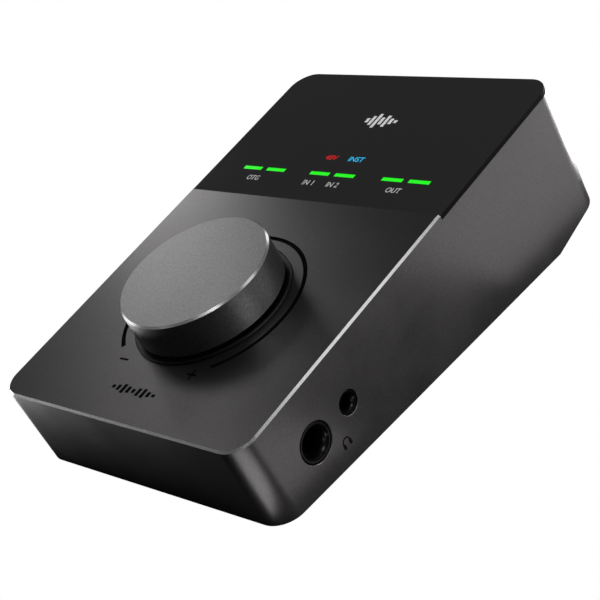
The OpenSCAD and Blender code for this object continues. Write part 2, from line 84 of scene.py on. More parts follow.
def solids(node, back=FLAT):
    """The separate solids of a CAD node, each as its lowest and highest corner in millimetres. They are given in the
    slope frame, or in the frame that back leads to."""
    mesh = CAD[node].data
    leader = {}

    def lead(key):
        while leader[key] != key:
            leader[key] = leader[leader[key]]
            key = leader[key]
        return key

    keys = [tuple(round(c * 2e5) for c in v.co) for v in mesh.vertices]
    for key in keys:
        leader.setdefault(key, key)
    for face in mesh.polygons:
        first = lead(keys[face.vertices[0]])
        for corner in face.vertices[1:]:
            leader[lead(keys[corner])] = first
    groups = {}
    for vertex, key in zip(mesh.vertices, keys):
        groups.setdefault(lead(key), []).append(back @ vertex.co / MM)
    spans = [(Vector(map(min, zip(*points))), Vector(map(max, zip(*points)))) for points in groups.values()]
    return sorted(spans, key=lambda span: (round(span[0].x, 1), round(span[0].y, 1)))


def span(node):
    """The box round a whole CAD node, in the slope frame, in millimetres."""
    boxes = solids(node)
    low = Vector(map(min, zip(*(box[0] for box in boxes))))
    high = Vector(map(max, zip(*(box[1] for box in boxes))))
    return low, high


def span_flat(node):
    """The box round a whole CAD node in the frame of the table, in millimetres."""
    low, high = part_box(node)
    return low / MM, high / MM


def middle(box):
    return (box[0] + box[1]) / 2


def spot(x, u, z=0.0):
    """A place on the top face: x across, u up the slope, z above the face, in millimetres."""
    return SLOPE @ Matrix.Translation(Vector((x, u, z)) * MM)


SHELL = span("housing")
HALF_W = SHELL[1].x
BODY_L = SHELL[1].y
KNOB_U = middle(span("knob_cap")).y
PANEL = span("cover_panel")


def side(u, z):
    """A place on the right side face, its z axis pointing out of the face."""
    return spot(HALF_W, u, z) @ Matrix.Rotation(math.radians(90), 4, "Y") @ Matrix.Rotation(math.radians(-90), 4, "Z")


def rear(x, z):
    """A place on the rear face, its z axis pointing out of the face."""
    return spot(x, BODY_L, z) @ Matrix.Rotation(math.radians(-90), 4, "X")


# ---- sizes and colours ----


def length(name, description, millimetres):
    return bpy.props.FloatProperty(name=name, description=description, default=millimetres * MM, unit="LENGTH", precision=5)


def colour(name, description, value):
    return bpy.props.FloatVectorProperty(name=name, description=description, default=value, size=3, subtype="COLOR")


class InterfaceSizes(bpy.types.PropertyGroup):
    corner_radius: length("Corner radius", "Plan radius of the upright corners", 7.3)
    wall: length("Wall", "Thickness of the housing's walls", 2.5)
    top: length("Top plate", "Thickness of the housing's top", 3.5)
    edge_bevel: length("Edge bevel", "Width of the bright bevel round the top edge", 0.58)
    knob_bevel: length("Knob bevel", "Width of the turned bevel round the knob face", 0.55)
    arc_width: length("Arc width", "Width of the engraved level arc", 1.3)
    arc_depth: length("Arc depth", "Depth of the engraved level arc", 0.3)
    legend_height: length("Legend height", "Height of the printed legends", 2.1)
    ink: length("Ink thickness", "Thickness of a printed mark", 0.02)
    soft_edge: length("Soft edge", "Radius that takes the sharpness off moulded pieces", 0.25)


class InterfaceColours(bpy.types.PropertyGroup):
    housing: colour("Housing", "Blasted and anodised housing metal", (0.0785, 0.0745, 0.0755))
    knob_face: colour("Knob face", "Blasted knob face", (0.2, 0.2, 0.2))
    knob_wall: colour("Knob wall", "Satin side wall of the knob", (0.1, 0.1, 0.1))
    cut_edge: colour("Cut edge", "Bright turned or milled bevels", (0.75, 0.75, 0.76))
    level: colour("Level bars", "Light of the level bars", (0.018, 0.78, 0.016))
    phantom: colour("Phantom legend", "Light of the phantom power legend", (0.5, 0.01, 0.014))
    instrument: colour("Instrument legend", "Light of the instrument legend", (0.03, 0.42, 0.72))


class InterfaceStudio(bpy.types.PropertyGroup):
    backdrop: bpy.props.FloatProperty(name="Backdrop", description="Brightness of the floor and backdrop", default=1.0)
    fill: bpy.props.FloatProperty(name="Fill", description="Strength of the even light from all round", default=0.1)
    power: bpy.props.FloatProperty(name="Power", description="Share of full power that the soft boxes give", default=1.0)


def sizes():
    return bpy.context.scene.interface_sizes


def colours():
    return bpy.context.scene.interface_colours


def studio():
    return bpy.context.scene.interface_studio


# ---- modelling by operators ----


def only(piece):
    """Selects one object and makes it the active one."""
    bpy.ops.object.select_all(action="DESELECT")
    piece.select_set(True)
    bpy.context.view_layer.objects.active = piece


@contextmanager
def editing(piece, kind="FACE"):
    only(piece)
    bpy.context.tool_settings.mesh_select_mode = (kind == "VERT", kind == "EDGE", kind == "FACE")
    bpy.ops.object.mode_set(mode="EDIT")
    yield
    bpy.ops.object.mode_set(mode="OBJECT")


def pick(piece, kind, test):
    """Selects the faces whose centre and normal, or the edges whose ends, pass a test."""
    mesh = piece.data
    for group in (mesh.vertices, mesh.edges, mesh.polygons):
        group.foreach_set("select", [False] * len(group))
    if kind == "FACE":
        for face in mesh.polygons:
            face.select = test(face.center / MM, face.normal)
        return
    for edge in mesh.edges:
        ends = [mesh.vertices[i].co / MM for i in edge.vertices]
        edge.select = test(*ends)


def named(name):
    piece = bpy.context.active_object
    piece.name = name
    piece.data.name = name
    return piece


def settle(piece, place=None):
    """Moves a piece by a place and writes it into the mesh."""
    if place is not None:
        piece.matrix_world = place @ piece.matrix_world
    only(piece)
    bpy.ops.object.transform_apply(location=True, rotation=True, scale=True)
    return piece


def block(name, low, high, place=None, edge=0.0, steps=2):
    """A block between two corners, in millimetres, with its edges eased."""
    bpy.ops.object.select_all(action="DESELECT")
    centre = (Vector(low) + Vector(high)) / 2 * MM
    bpy.ops.mesh.primitive_cube_add(size=1, location=centre)
    piece = named(name)
    piece.scale = (Vector(high) - Vector(low)) * MM
    settle(piece)
    if edge:
        with editing(piece):
            bpy.ops.mesh.select_all(action="SELECT")
            bpy.ops.mesh.bevel(offset=edge * MM, segments=steps, affect="EDGES")
    return settle(piece, place)


def eased(profile, radius, steps=3, closed=False):
    """A profile with its corners rounded: each corner becomes a short curve between points either side of it."""
    points = [Vector(p) for p in profile]
    count = len(points)
    out = []
    for i, corner in enumerate(points):
        if not closed and i in (0, count - 1):
            out.append(corner)
            continue
        before = points[i - 1] - corner
        after = points[(i + 1) % count] - corner
        reach = min(radius, before.length * 0.45, after.length * 0.45)
        start = corner + before.normalized() * reach
        stop = corner + after.normalized() * reach
        for step in range(steps + 1):
            t = step / steps
            out.append(start * (1 - t) ** 2 + corner * 2 * t * (1 - t) + stop * t**2)
    return out


def turned(name, profile, place=None, steps=96, ease=0.0, closed=False):
    """A turned piece. The profile is a list of (radius, height) in millimetres, run round the z axis.
    A closed profile makes a ring. An open one is capped flat at both ends."""
    points = eased(profile, ease, closed=closed) if ease else [Vector(p) for p in profile]
    if closed:
        points.append(points[0])
    fill = "NOTHING" if closed else "NGON"
    bpy.ops.object.select_all(action="DESELECT")
    bpy.ops.mesh.primitive_circle_add(vertices=steps, radius=points[0].x * MM, fill_type=fill)
    piece = named(name)
    piece.location.z = points[0].y * MM
    settle(piece)
    with editing(piece, "EDGE"):
        bpy.ops.mesh.select_all(action="SELECT")
        if not closed:
            bpy.ops.mesh.region_to_loop()
        for last, point in zip(points, points[1:]):
            rise = (0, 0, (point.y - last.y) * MM)
            bpy.ops.mesh.extrude_region_move(TRANSFORM_OT_translate={"value": rise})
            grow = point.x / last.x
            bpy.ops.transform.resize(value=(grow, grow, 1), center_override=(0, 0, point.y * MM))
        if not closed:
            bpy.ops.mesh.edge_face_add()
        bpy.ops.mesh.select_all(action="SELECT")
        bpy.ops.mesh.remove_doubles(threshold=1e-7)
        bpy.ops.mesh.normals_make_consistent(inside=False)
    return settle(piece, place)


def copied(piece, name, place):
    """A copy with its own mesh, moved by a place."""
    only(piece)
    bpy.ops.object.duplicate(linked=False)
    return settle(named(name), place)


def joined(name, pieces):
    bpy.ops.object.select_all(action="DESELECT")
    for piece in pieces:
        piece.select_set(True)
    bpy.context.view_layer.objects.active = pieces[0]
    if len(pieces) > 1:
        bpy.ops.object.join()
    return named(name)


def combined(piece, tools, operation="DIFFERENCE"):
    """Cuts tools from a piece one after the other, or adds them to it. Cut faces keep the tool's material."""
    for tool in tools:
        only(piece)
        change = piece.modifiers.new(operation.lower(), "BOOLEAN")
        change.operation = operation
        change.solver = "EXACT"
        change.material_mode = "TRANSFER"
        change.object = tool
        bpy.ops.object.modifier_apply(modifier=change.name)
        bpy.data.objects.remove(tool)
    return piece


def smooth(piece, degrees=32, weighted=True):
    """Smooth shading that keeps crisp edges, with broad faces left flat."""
    only(piece)
    bpy.ops.object.shade_smooth_by_angle(angle=math.radians(degrees))
    if weighted:
        change = piece.modifiers.new("weighted", "WEIGHTED_NORMAL")
        change.keep_sharp = True
        change.weight = 100
        bpy.ops.object.modifier_apply(modifier=change.name)
    return piece


def coat(piece, *finishes):
    """Gives a piece its finishes, in place of any that it has."""
    piece.data.materials.clear()
    for finish in finishes:
        piece.data.materials.append(finish)
    return piece


def touch_up(piece, index, test):
    """Gives the faces that pass a test another of the piece's finishes."""
    for face in piece.data.polygons:
        if test(FLAT @ face.center / MM, FLAT.to_3x3() @ face.normal):
            face.material_index = index


def hand_in(piece, body, slot, *nodes):
    """A finished piece rides on its body and stands for CAD nodes, which are hidden. The slot that it is given is not
    used.
    """
    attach(piece, body)
    if nodes:
        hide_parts(*nodes)


# ---- finishes ----


def group(name, inputs, outputs):
    """A new shader node group, with its sockets, or the one that was built before."""
    made = bpy.data.node_groups.get(name)
    if made:
        return made, None, None
    made = bpy.data.node_groups.new(name, "ShaderNodeTree")
    for label, kind, value in inputs:
        socket = made.interface.new_socket(name=label, in_out="INPUT", socket_type=kind)
        socket.default_value = value
    for label, kind in outputs:
        made.interface.new_socket(name=label, in_out="OUTPUT", socket_type=kind)
    return made, made.nodes.new("NodeGroupInput"), made.nodes.new("NodeGroupOutput")


def node(tree, kind, **values):
    """A node with its settings, and with its inputs given by name as numbers or as links."""
    made = tree.nodes.new(kind)
    for label, value in values.items():
        if hasattr(made, label) and label not in made.inputs:
            setattr(made, label, value)
            continue
        socket = made.inputs[int(label[1:])] if label[0] == "_" else made.inputs[label.replace("_", " ")]
        if isinstance(value, bpy.types.NodeSocket):
            tree.links.new(value, socket)
        else:
            socket.default_value = value
    return made


def math_node(tree, operation, a, b, clamp=False):
    return node(tree, "ShaderNodeMath", operation=operation, use_clamp=clamp, _0=a, _1=b).outputs[0]


def blast_group():
    """Fine bead blasting: small pits for the bump, and the faint mottling that goes with them."""
    made, given, out = group(
        "fine_blast",
        [("Grain", "NodeSocketFloat", 2600.0), ("Mottle", "NodeSocketFloat", 0.1)],
        [("Height", "NodeSocketFloat"), ("Shade", "NodeSocketFloat")],
    )
    if given is None:
        return made
    place = made.nodes.new("ShaderNodeTexCoord").outputs["Object"]
    pits = node(made, "ShaderNodeTexNoise", Vector=place, Scale=given.outputs["Grain"], Detail=3.0, Roughness=0.6)
    broad_scale = math_node(made, "MULTIPLY", given.outputs["Grain"], 0.35)
    broad = node(made, "ShaderNodeTexNoise", Vector=place, Scale=broad_scale, Detail=2.0, Roughness=0.5)
    mixed = math_node(made, "ADD", pits.outputs["Fac"], broad.outputs["Fac"])
    made.links.new(pits.outputs["Fac"], out.inputs["Height"])
    spread = math_node(made, "SUBTRACT", mixed, 1.0)
    swing = math_node(made, "MULTIPLY", spread, given.outputs["Mottle"])
    shade = math_node(made, "ADD", swing, 1.0)
    made.links.new(shade, out.inputs["Shade"])
    return made


def handling_group():
    """Faint smudges and dust from use: where the surface is a little duller."""
    made, given, out = group(
        "handling",
        [("Size", "NodeSocketFloat", 40.0), ("Amount", "NodeSocketFloat", 0.5)],
        [("Smudge", "NodeSocketFloat"), ("Dust", "NodeSocketFloat")],
    )
    if given is None:
        return made
    place = made.nodes.new("ShaderNodeTexCoord").outputs["Object"]
    cloud = node(made, "ShaderNodeTexNoise", Vector=place, Scale=given.outputs["Size"], Detail=4.0, Roughness=0.6)
    smudge = node(made, "ShaderNodeMapRange", Value=cloud.outputs["Fac"], _1=0.42, _2=0.68)
    made.links.new(math_node(made, "MULTIPLY", smudge.outputs[0], given.outputs["Amount"]), out.inputs["Smudge"])
    specks_scale = math_node(made, "MULTIPLY", given.outputs["Size"], 30.0)
    specks = node(made, "ShaderNodeTexVoronoi", Vector=place, Scale=specks_scale)
    near = node(made, "ShaderNodeMapRange", Value=specks.outputs["Distance"], _1=0.12, _2=0.05)
    sparse = node(made, "ShaderNodeMapRange", Value=specks.outputs["Color"], _1=0.9, _2=0.95)
    made.links.new(math_node(made, "MULTIPLY", near.outputs[0], sparse.outputs[0]), out.inputs["Dust"])
    return made


def moulded_group():
    """The fine spark texture of a moulded plastic surface."""
    made, given, out = group(
        "moulded_grain",
        [("Grain", "NodeSocketFloat", 3500.0)],
        [("Height", "NodeSocketFloat"), ("Shade", "NodeSocketFloat")],
    )
    if given is None:
        return made
    place = made.nodes.new("ShaderNodeTexCoord").outputs["Object"]
    cells = node(made, "ShaderNodeTexVoronoi", Vector=place, Scale=given.outputs["Grain"])
    cloud = node(made, "ShaderNodeTexNoise", Vector=place, Scale=given.outputs["Grain"], Detail=2.0)
    height = math_node(made, "MULTIPLY", cells.outputs["Distance"], cloud.outputs["Fac"])
    made.links.new(height, out.inputs["Height"])
    shade = node(made, "ShaderNodeMapRange", Value=cloud.outputs["Fac"], _1=0.3, _2=0.7, _3=0.93, _4=1.07)
    made.links.new(shade.outputs[0], out.inputs["Shade"])
    return made


def lathe_group():
    """Fine grooves left by turning, as bands round the x, y or z axis of the vector that it is given."""
    made, given, out = group(
        "lathe_grooves",
        [("Vector", "NodeSocketVector", (0, 0, 0)), ("Pitch", "NodeSocketFloat", 4000.0)],
        [("Height", "NodeSocketFloat"), ("Shade", "NodeSocketFloat")],
    )
    if given is None:
        return made
    apart = node(made, "ShaderNodeSeparateXYZ", Vector=given.outputs["Vector"])
    flat = node(made, "ShaderNodeCombineXYZ", X=apart.outputs["X"], Y=apart.outputs["Y"])
    reach = node(made, "ShaderNodeVectorMath", operation="LENGTH", _0=flat.outputs[0])
    run = math_node(made, "ADD", reach.outputs["Value"], apart.outputs["Z"])
    bands = node(made, "ShaderNodeTexNoise", noise_dimensions="1D", W=run, Scale=given.outputs["Pitch"], Detail=3.0)
    made.links.new(bands.outputs["Fac"], out.inputs["Height"])
    shade = node(made, "ShaderNodeMapRange", Value=bands.outputs["Fac"], _1=0.25, _2=0.75, _3=0.85, _4=1.15)
    made.links.new(shade.outputs[0], out.inputs["Shade"])
    return made


def effect(tree, made, **values):
    placed = tree.nodes.new("ShaderNodeGroup")
    placed.node_tree = made
    for label, value in values.items():
        if isinstance(value, bpy.types.NodeSocket):
            tree.links.new(value, placed.inputs[label])
        else:
            placed.inputs[label].default_value = value
    return placed


def finish(name, base, rough, metal=0.0, **plain):
    """A new material with its plain values set on the shader, or the one that was made before."""
    label = name + "_finish"
    made = bpy.data.materials.get(label)
    if made:
        return made, None, None
    made = bpy.data.materials.new(label)
    made.use_nodes = True
    tree = made.node_tree
    shader = tree.nodes["Principled BSDF"]
    shader.inputs["Base Color"].default_value = (*base, 1)
    shader.inputs["Roughness"].default_value = rough
    shader.inputs["Metallic"].default_value = metal
    for label, value in plain.items():
        shader.inputs[label.replace("_", " ")].default_value = value
    made.diffuse_color = (*base, 1)
    return made, tree, shader


def tint(tree, shader, base, shade):
    """The base colour, made lighter and darker by a shade that is about one."""
    colour_node = node(tree, "ShaderNodeVectorMath", operation="SCALE", _0=base, Scale=shade)
    tree.links.new(colour_node.outputs[0], shader.inputs["Base Color"])


def bump(tree, shader, height, distance, strength=1.0):
    made = node(tree, "ShaderNodeBump", Strength=strength, Distance=distance * MM, Height=height)
    tree.links.new(made.outputs[0], shader.inputs["Normal"])


def rough_range(tree, shader, value, low, high):
    """Roughness that runs from low to high with a value from nought to one."""
    made = node(tree, "ShaderNodeMapRange", Value=value, _3=low, _4=high)
    tree.links.new(made.outputs[0], shader.inputs["Roughness"])


def blasted(name, base, rough, grain=2600.0, mottle=0.1, depth=0.004, metal=1.0):
    made, tree, shader = finish(name, base, rough, metal)
    if tree:
        blast = effect(tree, blast_group(), Grain=grain, Mottle=mottle)
        use = effect(tree, handling_group(), Size=35.0, Amount=1.0)
        tint(tree, shader, base, blast.outputs["Shade"])
        rough_range(tree, shader, use.outputs["Smudge"], rough, rough + 0.04)
        bump(tree, shader, blast.outputs["Height"], depth)
    return made


def housing_metal():
    return blasted("housing_metal", colours().housing, 0.36, grain=4500.0, mottle=0.45, depth=0.003)


def knob_face_metal():
    return blasted("knob_face_metal", colours().knob_face, 0.42, grain=4200.0, mottle=0.55, depth=0.004)


def knob_wall_metal():
    return blasted("knob_wall_metal", colours().knob_wall, 0.33, grain=4200.0, mottle=0.9, depth=0.004)


def ring_metal():
    return blasted("ring_metal", (0.008, 0.008, 0.008), 0.42, grain=3000.0)


def cut_edge(name, place=None):
    """Bright metal cut through the anodised skin. Turned edges carry fine grooves round their own centre."""
    made, tree, shader = finish(name, colours().cut_edge, 0.22, 1.0)
    if tree:
        if place is None:
            grooves = effect(tree, blast_group(), Grain=1500.0, Mottle=0.3)
        else:
            grooves = effect(tree, lathe_group(), Vector=centred(tree, place), Pitch=9000.0)
        tint(tree, shader, colours().cut_edge, grooves.outputs["Shade"])
        bump(tree, shader, grooves.outputs["Height"], 0.002)
    return made


def centred(tree, place):
    """Object coordinates moved and turned so that a place is their origin."""
    spot_node = node(tree, "ShaderNodeMapping", vector_type="TEXTURE")
    spot_node.inputs["Location"].default_value = place.to_translation()
    spot_node.inputs["Rotation"].default_value = place.to_euler()
    tree.links.new(tree.nodes.new("ShaderNodeTexCoord").outputs["Object"], spot_node.inputs["Vector"])
    return spot_node.outputs[0]


def turned_metal(name, base, rough, place, pitch=6000.0):
    made, tree, shader = finish(name, base, rough, 1.0)
    if tree:
        grooves = effect(tree, lathe_group(), Vector=centred(tree, place), Pitch=pitch)
        tint(tree, shader, base, grooves.outputs["Shade"])
        bump(tree, shader, grooves.outputs["Height"], 0.004)
    return made


def plastic(name, base, rough, grain=3500.0, depth=0.006, **plain):
    made, tree, shader = finish(name, base, rough, **plain)
    if tree:
        moulded = effect(tree, moulded_group(), Grain=grain)
        use = effect(tree, handling_group(), Size=60.0, Amount=1.0)
        tint(tree, shader, base, moulded.outputs["Shade"])
        rough_range(tree, shader, use.outputs["Smudge"], rough, min(1.0, rough + 0.1))
        bump(tree, shader, moulded.outputs["Height"], depth)
    return made


def black_plastic():
    return plastic("black_plastic", (0.012, 0.012, 0.012), 0.38)


def panel_gloss():
    """Smoked panel: deep black with a polished face that shows the faintest dust."""
    base = (0.013, 0.013, 0.0135)
    made, tree, shader = finish("panel_gloss", base, 0.07)
    if tree:
        use = effect(tree, handling_group(), Size=22.0, Amount=1.0)
        shade = node(tree, "ShaderNodeMapRange", Value=use.outputs["Dust"], _3=1.0, _4=1.6)
        tint(tree, shader, base, shade.outputs[0])
        rough_range(tree, shader, use.outputs["Smudge"], 0.06, 0.1)
    return made


def paint(name, base, rough=0.5, gloss=0.5):
    return plastic(name, base, rough, grain=5000.0, depth=0.002, Specular_IOR_Level=gloss)


def panel_edge():
    return paint("panel_edge", (0.001, 0.001, 0.001), 0.6, gloss=0.02)


def black_ink():
    return paint("black_ink", (0.001, 0.001, 0.001), 0.8, gloss=0.03)


def lit(name, light, strength):
    """A light guide or lit legend: it glows, a little unevenly with its grain."""
    dark = tuple(0.3 * c for c in light)
    made, tree, shader = finish(name, dark, 0.25, Specular_IOR_Level=0.1)
    if tree:
        grain = effect(tree, blast_group(), Grain=900.0, Mottle=0.12)
        glow = node(tree, "ShaderNodeVectorMath", operation="SCALE", _0=light, Scale=grain.outputs["Shade"])
        tree.links.new(glow.outputs[0], shader.inputs["Emission Color"])
        shader.inputs["Emission Strength"].default_value = strength
    return made


# ---- the pieces ----


class PieceOperator:
    bl_options = {"REGISTER", "UNDO"}

    def execute(self, context):
        self.make()
        return {"FINISHED"}


def body_block(name, inset, top, deep=80.0):
    """The housing's plan, drawn inside its outer face by an inset, as a tall block with rounded upright corners."""
    low = (-HALF_W + inset, inset, -deep)
    high = (HALF_W - inset, BODY_L - inset, top)
    piece = block(name, low, high)
    pick(piece, "EDGE", lambda a, b: abs(a.z - b.z) > 1)
    with editing(piece, "EDGE"):
        radius = sizes().corner_radius - inset * MM
        bpy.ops.mesh.bevel(offset=radius, segments=24, affect="EDGES")
    return piece


def underside_planes():
    """The flat underside and the rising rear part of it, each as a point and an outward normal, in metres."""
    points = [v.co for v in CAD["housing"].data.vertices]
    low = min(p.z for p in points)
    crease = max(p.y for p in points if p.z < low + 1e-5)
    last = max(p.y for p in points)
    lift = min(p.z for p in points if p.y > last - 1e-5)
    rising = Vector((0, lift - low, crease - last)).normalized()
    return (Vector((0, crease, low)), Vector((0, 0, -1))), (Vector((0, crease, low)), rising)


def trim_underside(piece, lift=0.0):
    for point, normal in underside_planes():
        with editing(piece):
            bpy.ops.mesh.select_all(action="SELECT")
            co = point - normal * lift
            bpy.ops.mesh.bisect(plane_co=co, plane_no=normal, clear_outer=True, use_fill=True)


def arc_tool():
    """The level arc as a ring sector round the knob, open towards the front."""
    outer = 0.5 * (span("knob_ring")[1].x - span("knob_ring")[0].x)
    radius = outer + 3.8
    half = sizes().arc_width / MM / 2
    depth = sizes().arc_depth / MM
    start, sweep = math.radians(-49.4), math.radians(277.6)
    bpy.ops.object.select_all(action="DESELECT")
    bpy.ops.mesh.primitive_plane_add(size=1, location=(radius * MM, 0, 0), rotation=(math.radians(90), 0, 0))
    piece = named("arc")
    piece.scale = (2 * half * MM, 2 * depth * MM, 1)
    settle(piece)
    only(piece)
    piece.matrix_world = Matrix.Rotation(start, 4, "Z")
    settle(piece)
    with editing(piece):
        bpy.ops.mesh.select_all(action="SELECT")
        bpy.ops.mesh.spin(steps=160, angle=-sweep, center=(0, 0, 0), axis=(0, 0, 1), use_normal_flip=False)
        bpy.ops.mesh.select_all(action="SELECT")
        bpy.ops.mesh.normals_make_consistent(inside=False)
    return settle(piece, spot(0, KNOB_U))


def mark_tools():
    """The minus and the plus at the two ends of the level arc."""
    x, u = 14.0, KNOB_U - 24.8
    long, thin, deep = 1.7, 0.34, 0.2
    tools = [block("minus", (-long, -thin, -deep), (long, thin, deep), spot(-x, u))]
    tools.append(block("plus", (-long, -thin, -deep), (long, thin, deep), spot(x, u)))
    tools.append(block("plus", (-thin, -long, -deep * 0.99), (thin, long, deep * 0.99), spot(x, u)))
    return tools


def headphone_tools():
    """The headphone sign between the two sockets: a band over two ear pads, cut a little way into the side."""
    deep = 0.06
    phones = middle(solids("phones_sleeve")[0])
    place = side(phones.y + 7.9, phones.z - 7.9)
    band = [(1.05, -deep), (1.5, -deep), (1.5, deep), (1.05, deep)]
    tools = [turned("band", band, place, steps=64, closed=True)]
    combined(tools[0], [block("lower", (-2, 0.3, -1), (2, 2, 1), place)])
    for s in (-1, 1):
        low, high = s * 1.2 - 0.48, s * 1.2 + 0.48
        tools.append(block("pad", (low, 0.1, -deep * 1.1), (high, 1.65, deep * 1.1), place))
    return tools


def hole_tool(radius, place, rim=0.15, deep=4.0):
    """A drill for a hole through a wall, with a small bevel at the rim."""
    profile = [(radius, -deep), (radius, -rim), (radius + rim, 0), (radius + rim, 1)]
    return turned("drill", profile, place, steps=96)


def round_of(box, axis):
    """The radius of a round solid from its box, seen along an axis."""
    across = [box[1][i] - box[0][i] for i in range(3) if i != axis]
    return min(across) / 2


class INTERFACE_OT_housing(PieceOperator, bpy.types.Operator):
    """Models the one-piece metal housing with its holes, engraved arc and bright bevel"""

    bl_idname = "interface.housing"
    bl_label = "Housing"

    def make(self):
        skin, bright, ink = housing_metal(), cut_edge("cut_edge"), black_ink()
        piece = body_block("housing_shell", 0.0, 0.0)
        bevel = sizes().edge_bevel
        pick(piece, "FACE", lambda c, n: n.z > 0.9)
        with editing(piece):
            bpy.ops.mesh.region_to_loop()
            bpy.context.tool_settings.mesh_select_mode = (False, True, False)
            bpy.ops.mesh.bevel(offset=bevel, segments=1, affect="EDGES")
        settle(piece, SLOPE)
        trim_underside(piece)
        coat(piece, skin, bright, ink)
        cavity = body_block("cavity", sizes().wall / MM, -sizes().top / MM)
        recess = block("recess", (-HALF_W - 2, PANEL[0].y - 0.08, PANEL[0].z), (HALF_W + 2, BODY_L + 2, 3), SLOPE)
        combined(piece, [coat(settle(cavity, SLOPE), skin)])
        combined(piece, [coat(tool, skin) for tool in self.posts()], "UNION")
        combined(piece, [coat(recess, skin)])
        combined(piece, [coat(tool, ink, ink, ink) for tool in [arc_tool(), *mark_tools(), *headphone_tools()]])
        combined(piece, [coat(tool, skin) for tool in self.holes()])
        combined(piece, [coat(tool, skin) for tool in self.pilots()])
        touch_up(piece, 1, lambda c, n: c.z > -bevel / MM and 0.3 < n.z < 0.95)
        smooth(piece)
        hand_in(piece, "chassis", "housing_metal", "housing")

    def holes(self):
        tools = []
        for kind, sleeve in (("large", "phones_sleeve"), ("small", "small_sleeve")):
            at = middle(solids(sleeve)[0])
            tools.append(hole_tool(NOSE[kind] + 0.1, side(at.y, at.z)))
        for at in map(middle, solids("rear_sleeves")):
            tools.append(hole_tool(NOSE["large"] + 0.1, rear(at.x, at.z)))
        for name in ("button_48v", "button_inst"):
            box = solids(name)[0]
            tools.append(hole_tool(round_of(box, 1) + 0.2, rear(middle(box).x, middle(box).z)))
        combo = solids("combo_socket")[0]
        tools.append(hole_tool(11.85, rear(middle(combo).x, middle(combo).z)))
        for box in solids("combo_screws"):
            tools.append(hole_tool(1.45, rear(middle(box).x, middle(box).z), rim=1.2))
        for box in solids("usb_ports"):
            tools.append(slot_tool(box))
        tools.append(turned("drill", [(3.75, -6), (3.75, 1)], spot(0, KNOB_U)))
        for box in solids("light_bars"):
            low, high = box
            tools.append(block("window", (low.x - 0.2, low.y - 0.2, -6), (high.x + 0.2, high.y + 0.2, 1), SLOPE))
        for name in ("legend_pipe_red", "legend_pipe_blue"):
            low, high = solids(name)[0]
            tools.append(block("window", (low.x - 0.2, low.y - 0.2, -6), (high.x + 0.2, high.y + 0.2, 1), SLOPE))
        return tools

    def posts(self):
        """The bosses that the main board hangs from, and the posts that the base is screwed to."""
        tools = []
        top = -sizes().top / MM + 0.5
        for box in solids("board_screws"):
            at = middle(box)
            tools.append(turned("boss", [(3, span("main_board")[1].z), (3, top)], spot(at.x, at.y), steps=48))
        seat = span_flat("base_tray")[0].z + 2
        for box in solids("base_screws", Matrix()):
            at = middle(box)
            post = turned("post", [(4, seat), (4, 70)], Matrix.Translation((at.x * MM, at.y * MM, 0)), steps=48)
            with editing(post):
                bpy.ops.mesh.select_all(action="SELECT")
                bpy.ops.mesh.bisect(
                    plane_co=SLOPE @ Vector((0, 0, top * MM)), plane_no=SLOPE.to_3x3() @ Vector((0, 0, 1)),
                    clear_outer=True, use_fill=True,
                )
            tools.append(post)
        return tools

    def pilots(self):
        """The pilot holes for the screws in those bosses and posts."""
        tools = []
        low = span("main_board")[1].z
        for box in solids("board_screws"):
            at = middle(box)
            tools.append(turned("pilot", [(1.5, low - 1), (1.5, low + 4)], spot(at.x, at.y), steps=32))
        seat = span_flat("base_tray")[0].z + 2
        for box in solids("base_screws", Matrix()):
            at = middle(box)
            place = Matrix.Translation((at.x * MM, at.y * MM, 0))
            tools.append(turned("pilot", [(1.5, seat - 3), (1.5, seat + 9)], place, steps=32))
        return tools


def slot_tool(box, grow=0.22):
    """A cutter for a flat port with round ends, in the rear face."""
    at = middle(box)
    half_w = (box[1].x - box[0].x) / 2 + grow
    half_h = (box[1].z - box[0].z) / 2 + grow
    return flat_round("port", half_w, half_h, -5, 1, rear(at.x, at.z))


class INTERFACE_OT_panel(PieceOperator, bpy.types.Operator):
    """Models the black display panel with its round corners and the windows for the level bars"""

    bl_idname = "interface.panel"
    bl_label = "Display panel"

    def make(self):
        piece = body_block("display_panel", 0.0, PANEL[1].z, deep=-PANEL[0].z)
        with editing(piece):
            bpy.ops.mesh.select_all(action="SELECT")
            front = (0, PANEL[0].y * MM, 0)
            bpy.ops.mesh.bisect(plane_co=front, plane_no=(0, -1, 0), clear_outer=True, use_fill=True)
        pick(piece, "FACE", lambda c, n: n.z > 0.9)
        with editing(piece):
            bpy.ops.mesh.region_to_loop()
            bpy.context.tool_settings.mesh_select_mode = (False, True, False)
            bpy.ops.mesh.bevel(offset=0.12 * MM, segments=2, affect="EDGES")
        settle(piece, SLOPE)
        coat(piece, panel_gloss(), panel_edge())
        touch_up(piece, 1, lambda c, n: n.z < 0.9)
        windows = []
        for low, high in solids("light_bars"):
            windows.append(block("window", (low.x, low.y, -6), (high.x, high.y, 1), SLOPE))
        combined(piece, [coat(tool, panel_gloss()) for tool in windows])
        smooth(piece)
        hand_in(piece, "chassis", "gloss_black", "cover_panel")


class INTERFACE_OT_lights(PieceOperator, bpy.types.Operator):
    """Models the six level bars"""

    bl_idname = "interface.lights"
    bl_label = "Level bars"

    def make(self):
        bars = []
        for low, high in solids("light_bars"):
            bar = block("bar", low, high, edge=0.12)
            bars.append(settle(bar, SLOPE))
        piece = joined("level_bars", bars)
        coat(piece, lit("level_light", colours().level, 1.0))
        smooth(piece)
        hand_in(piece, "chassis", "light_green", "light_bars")


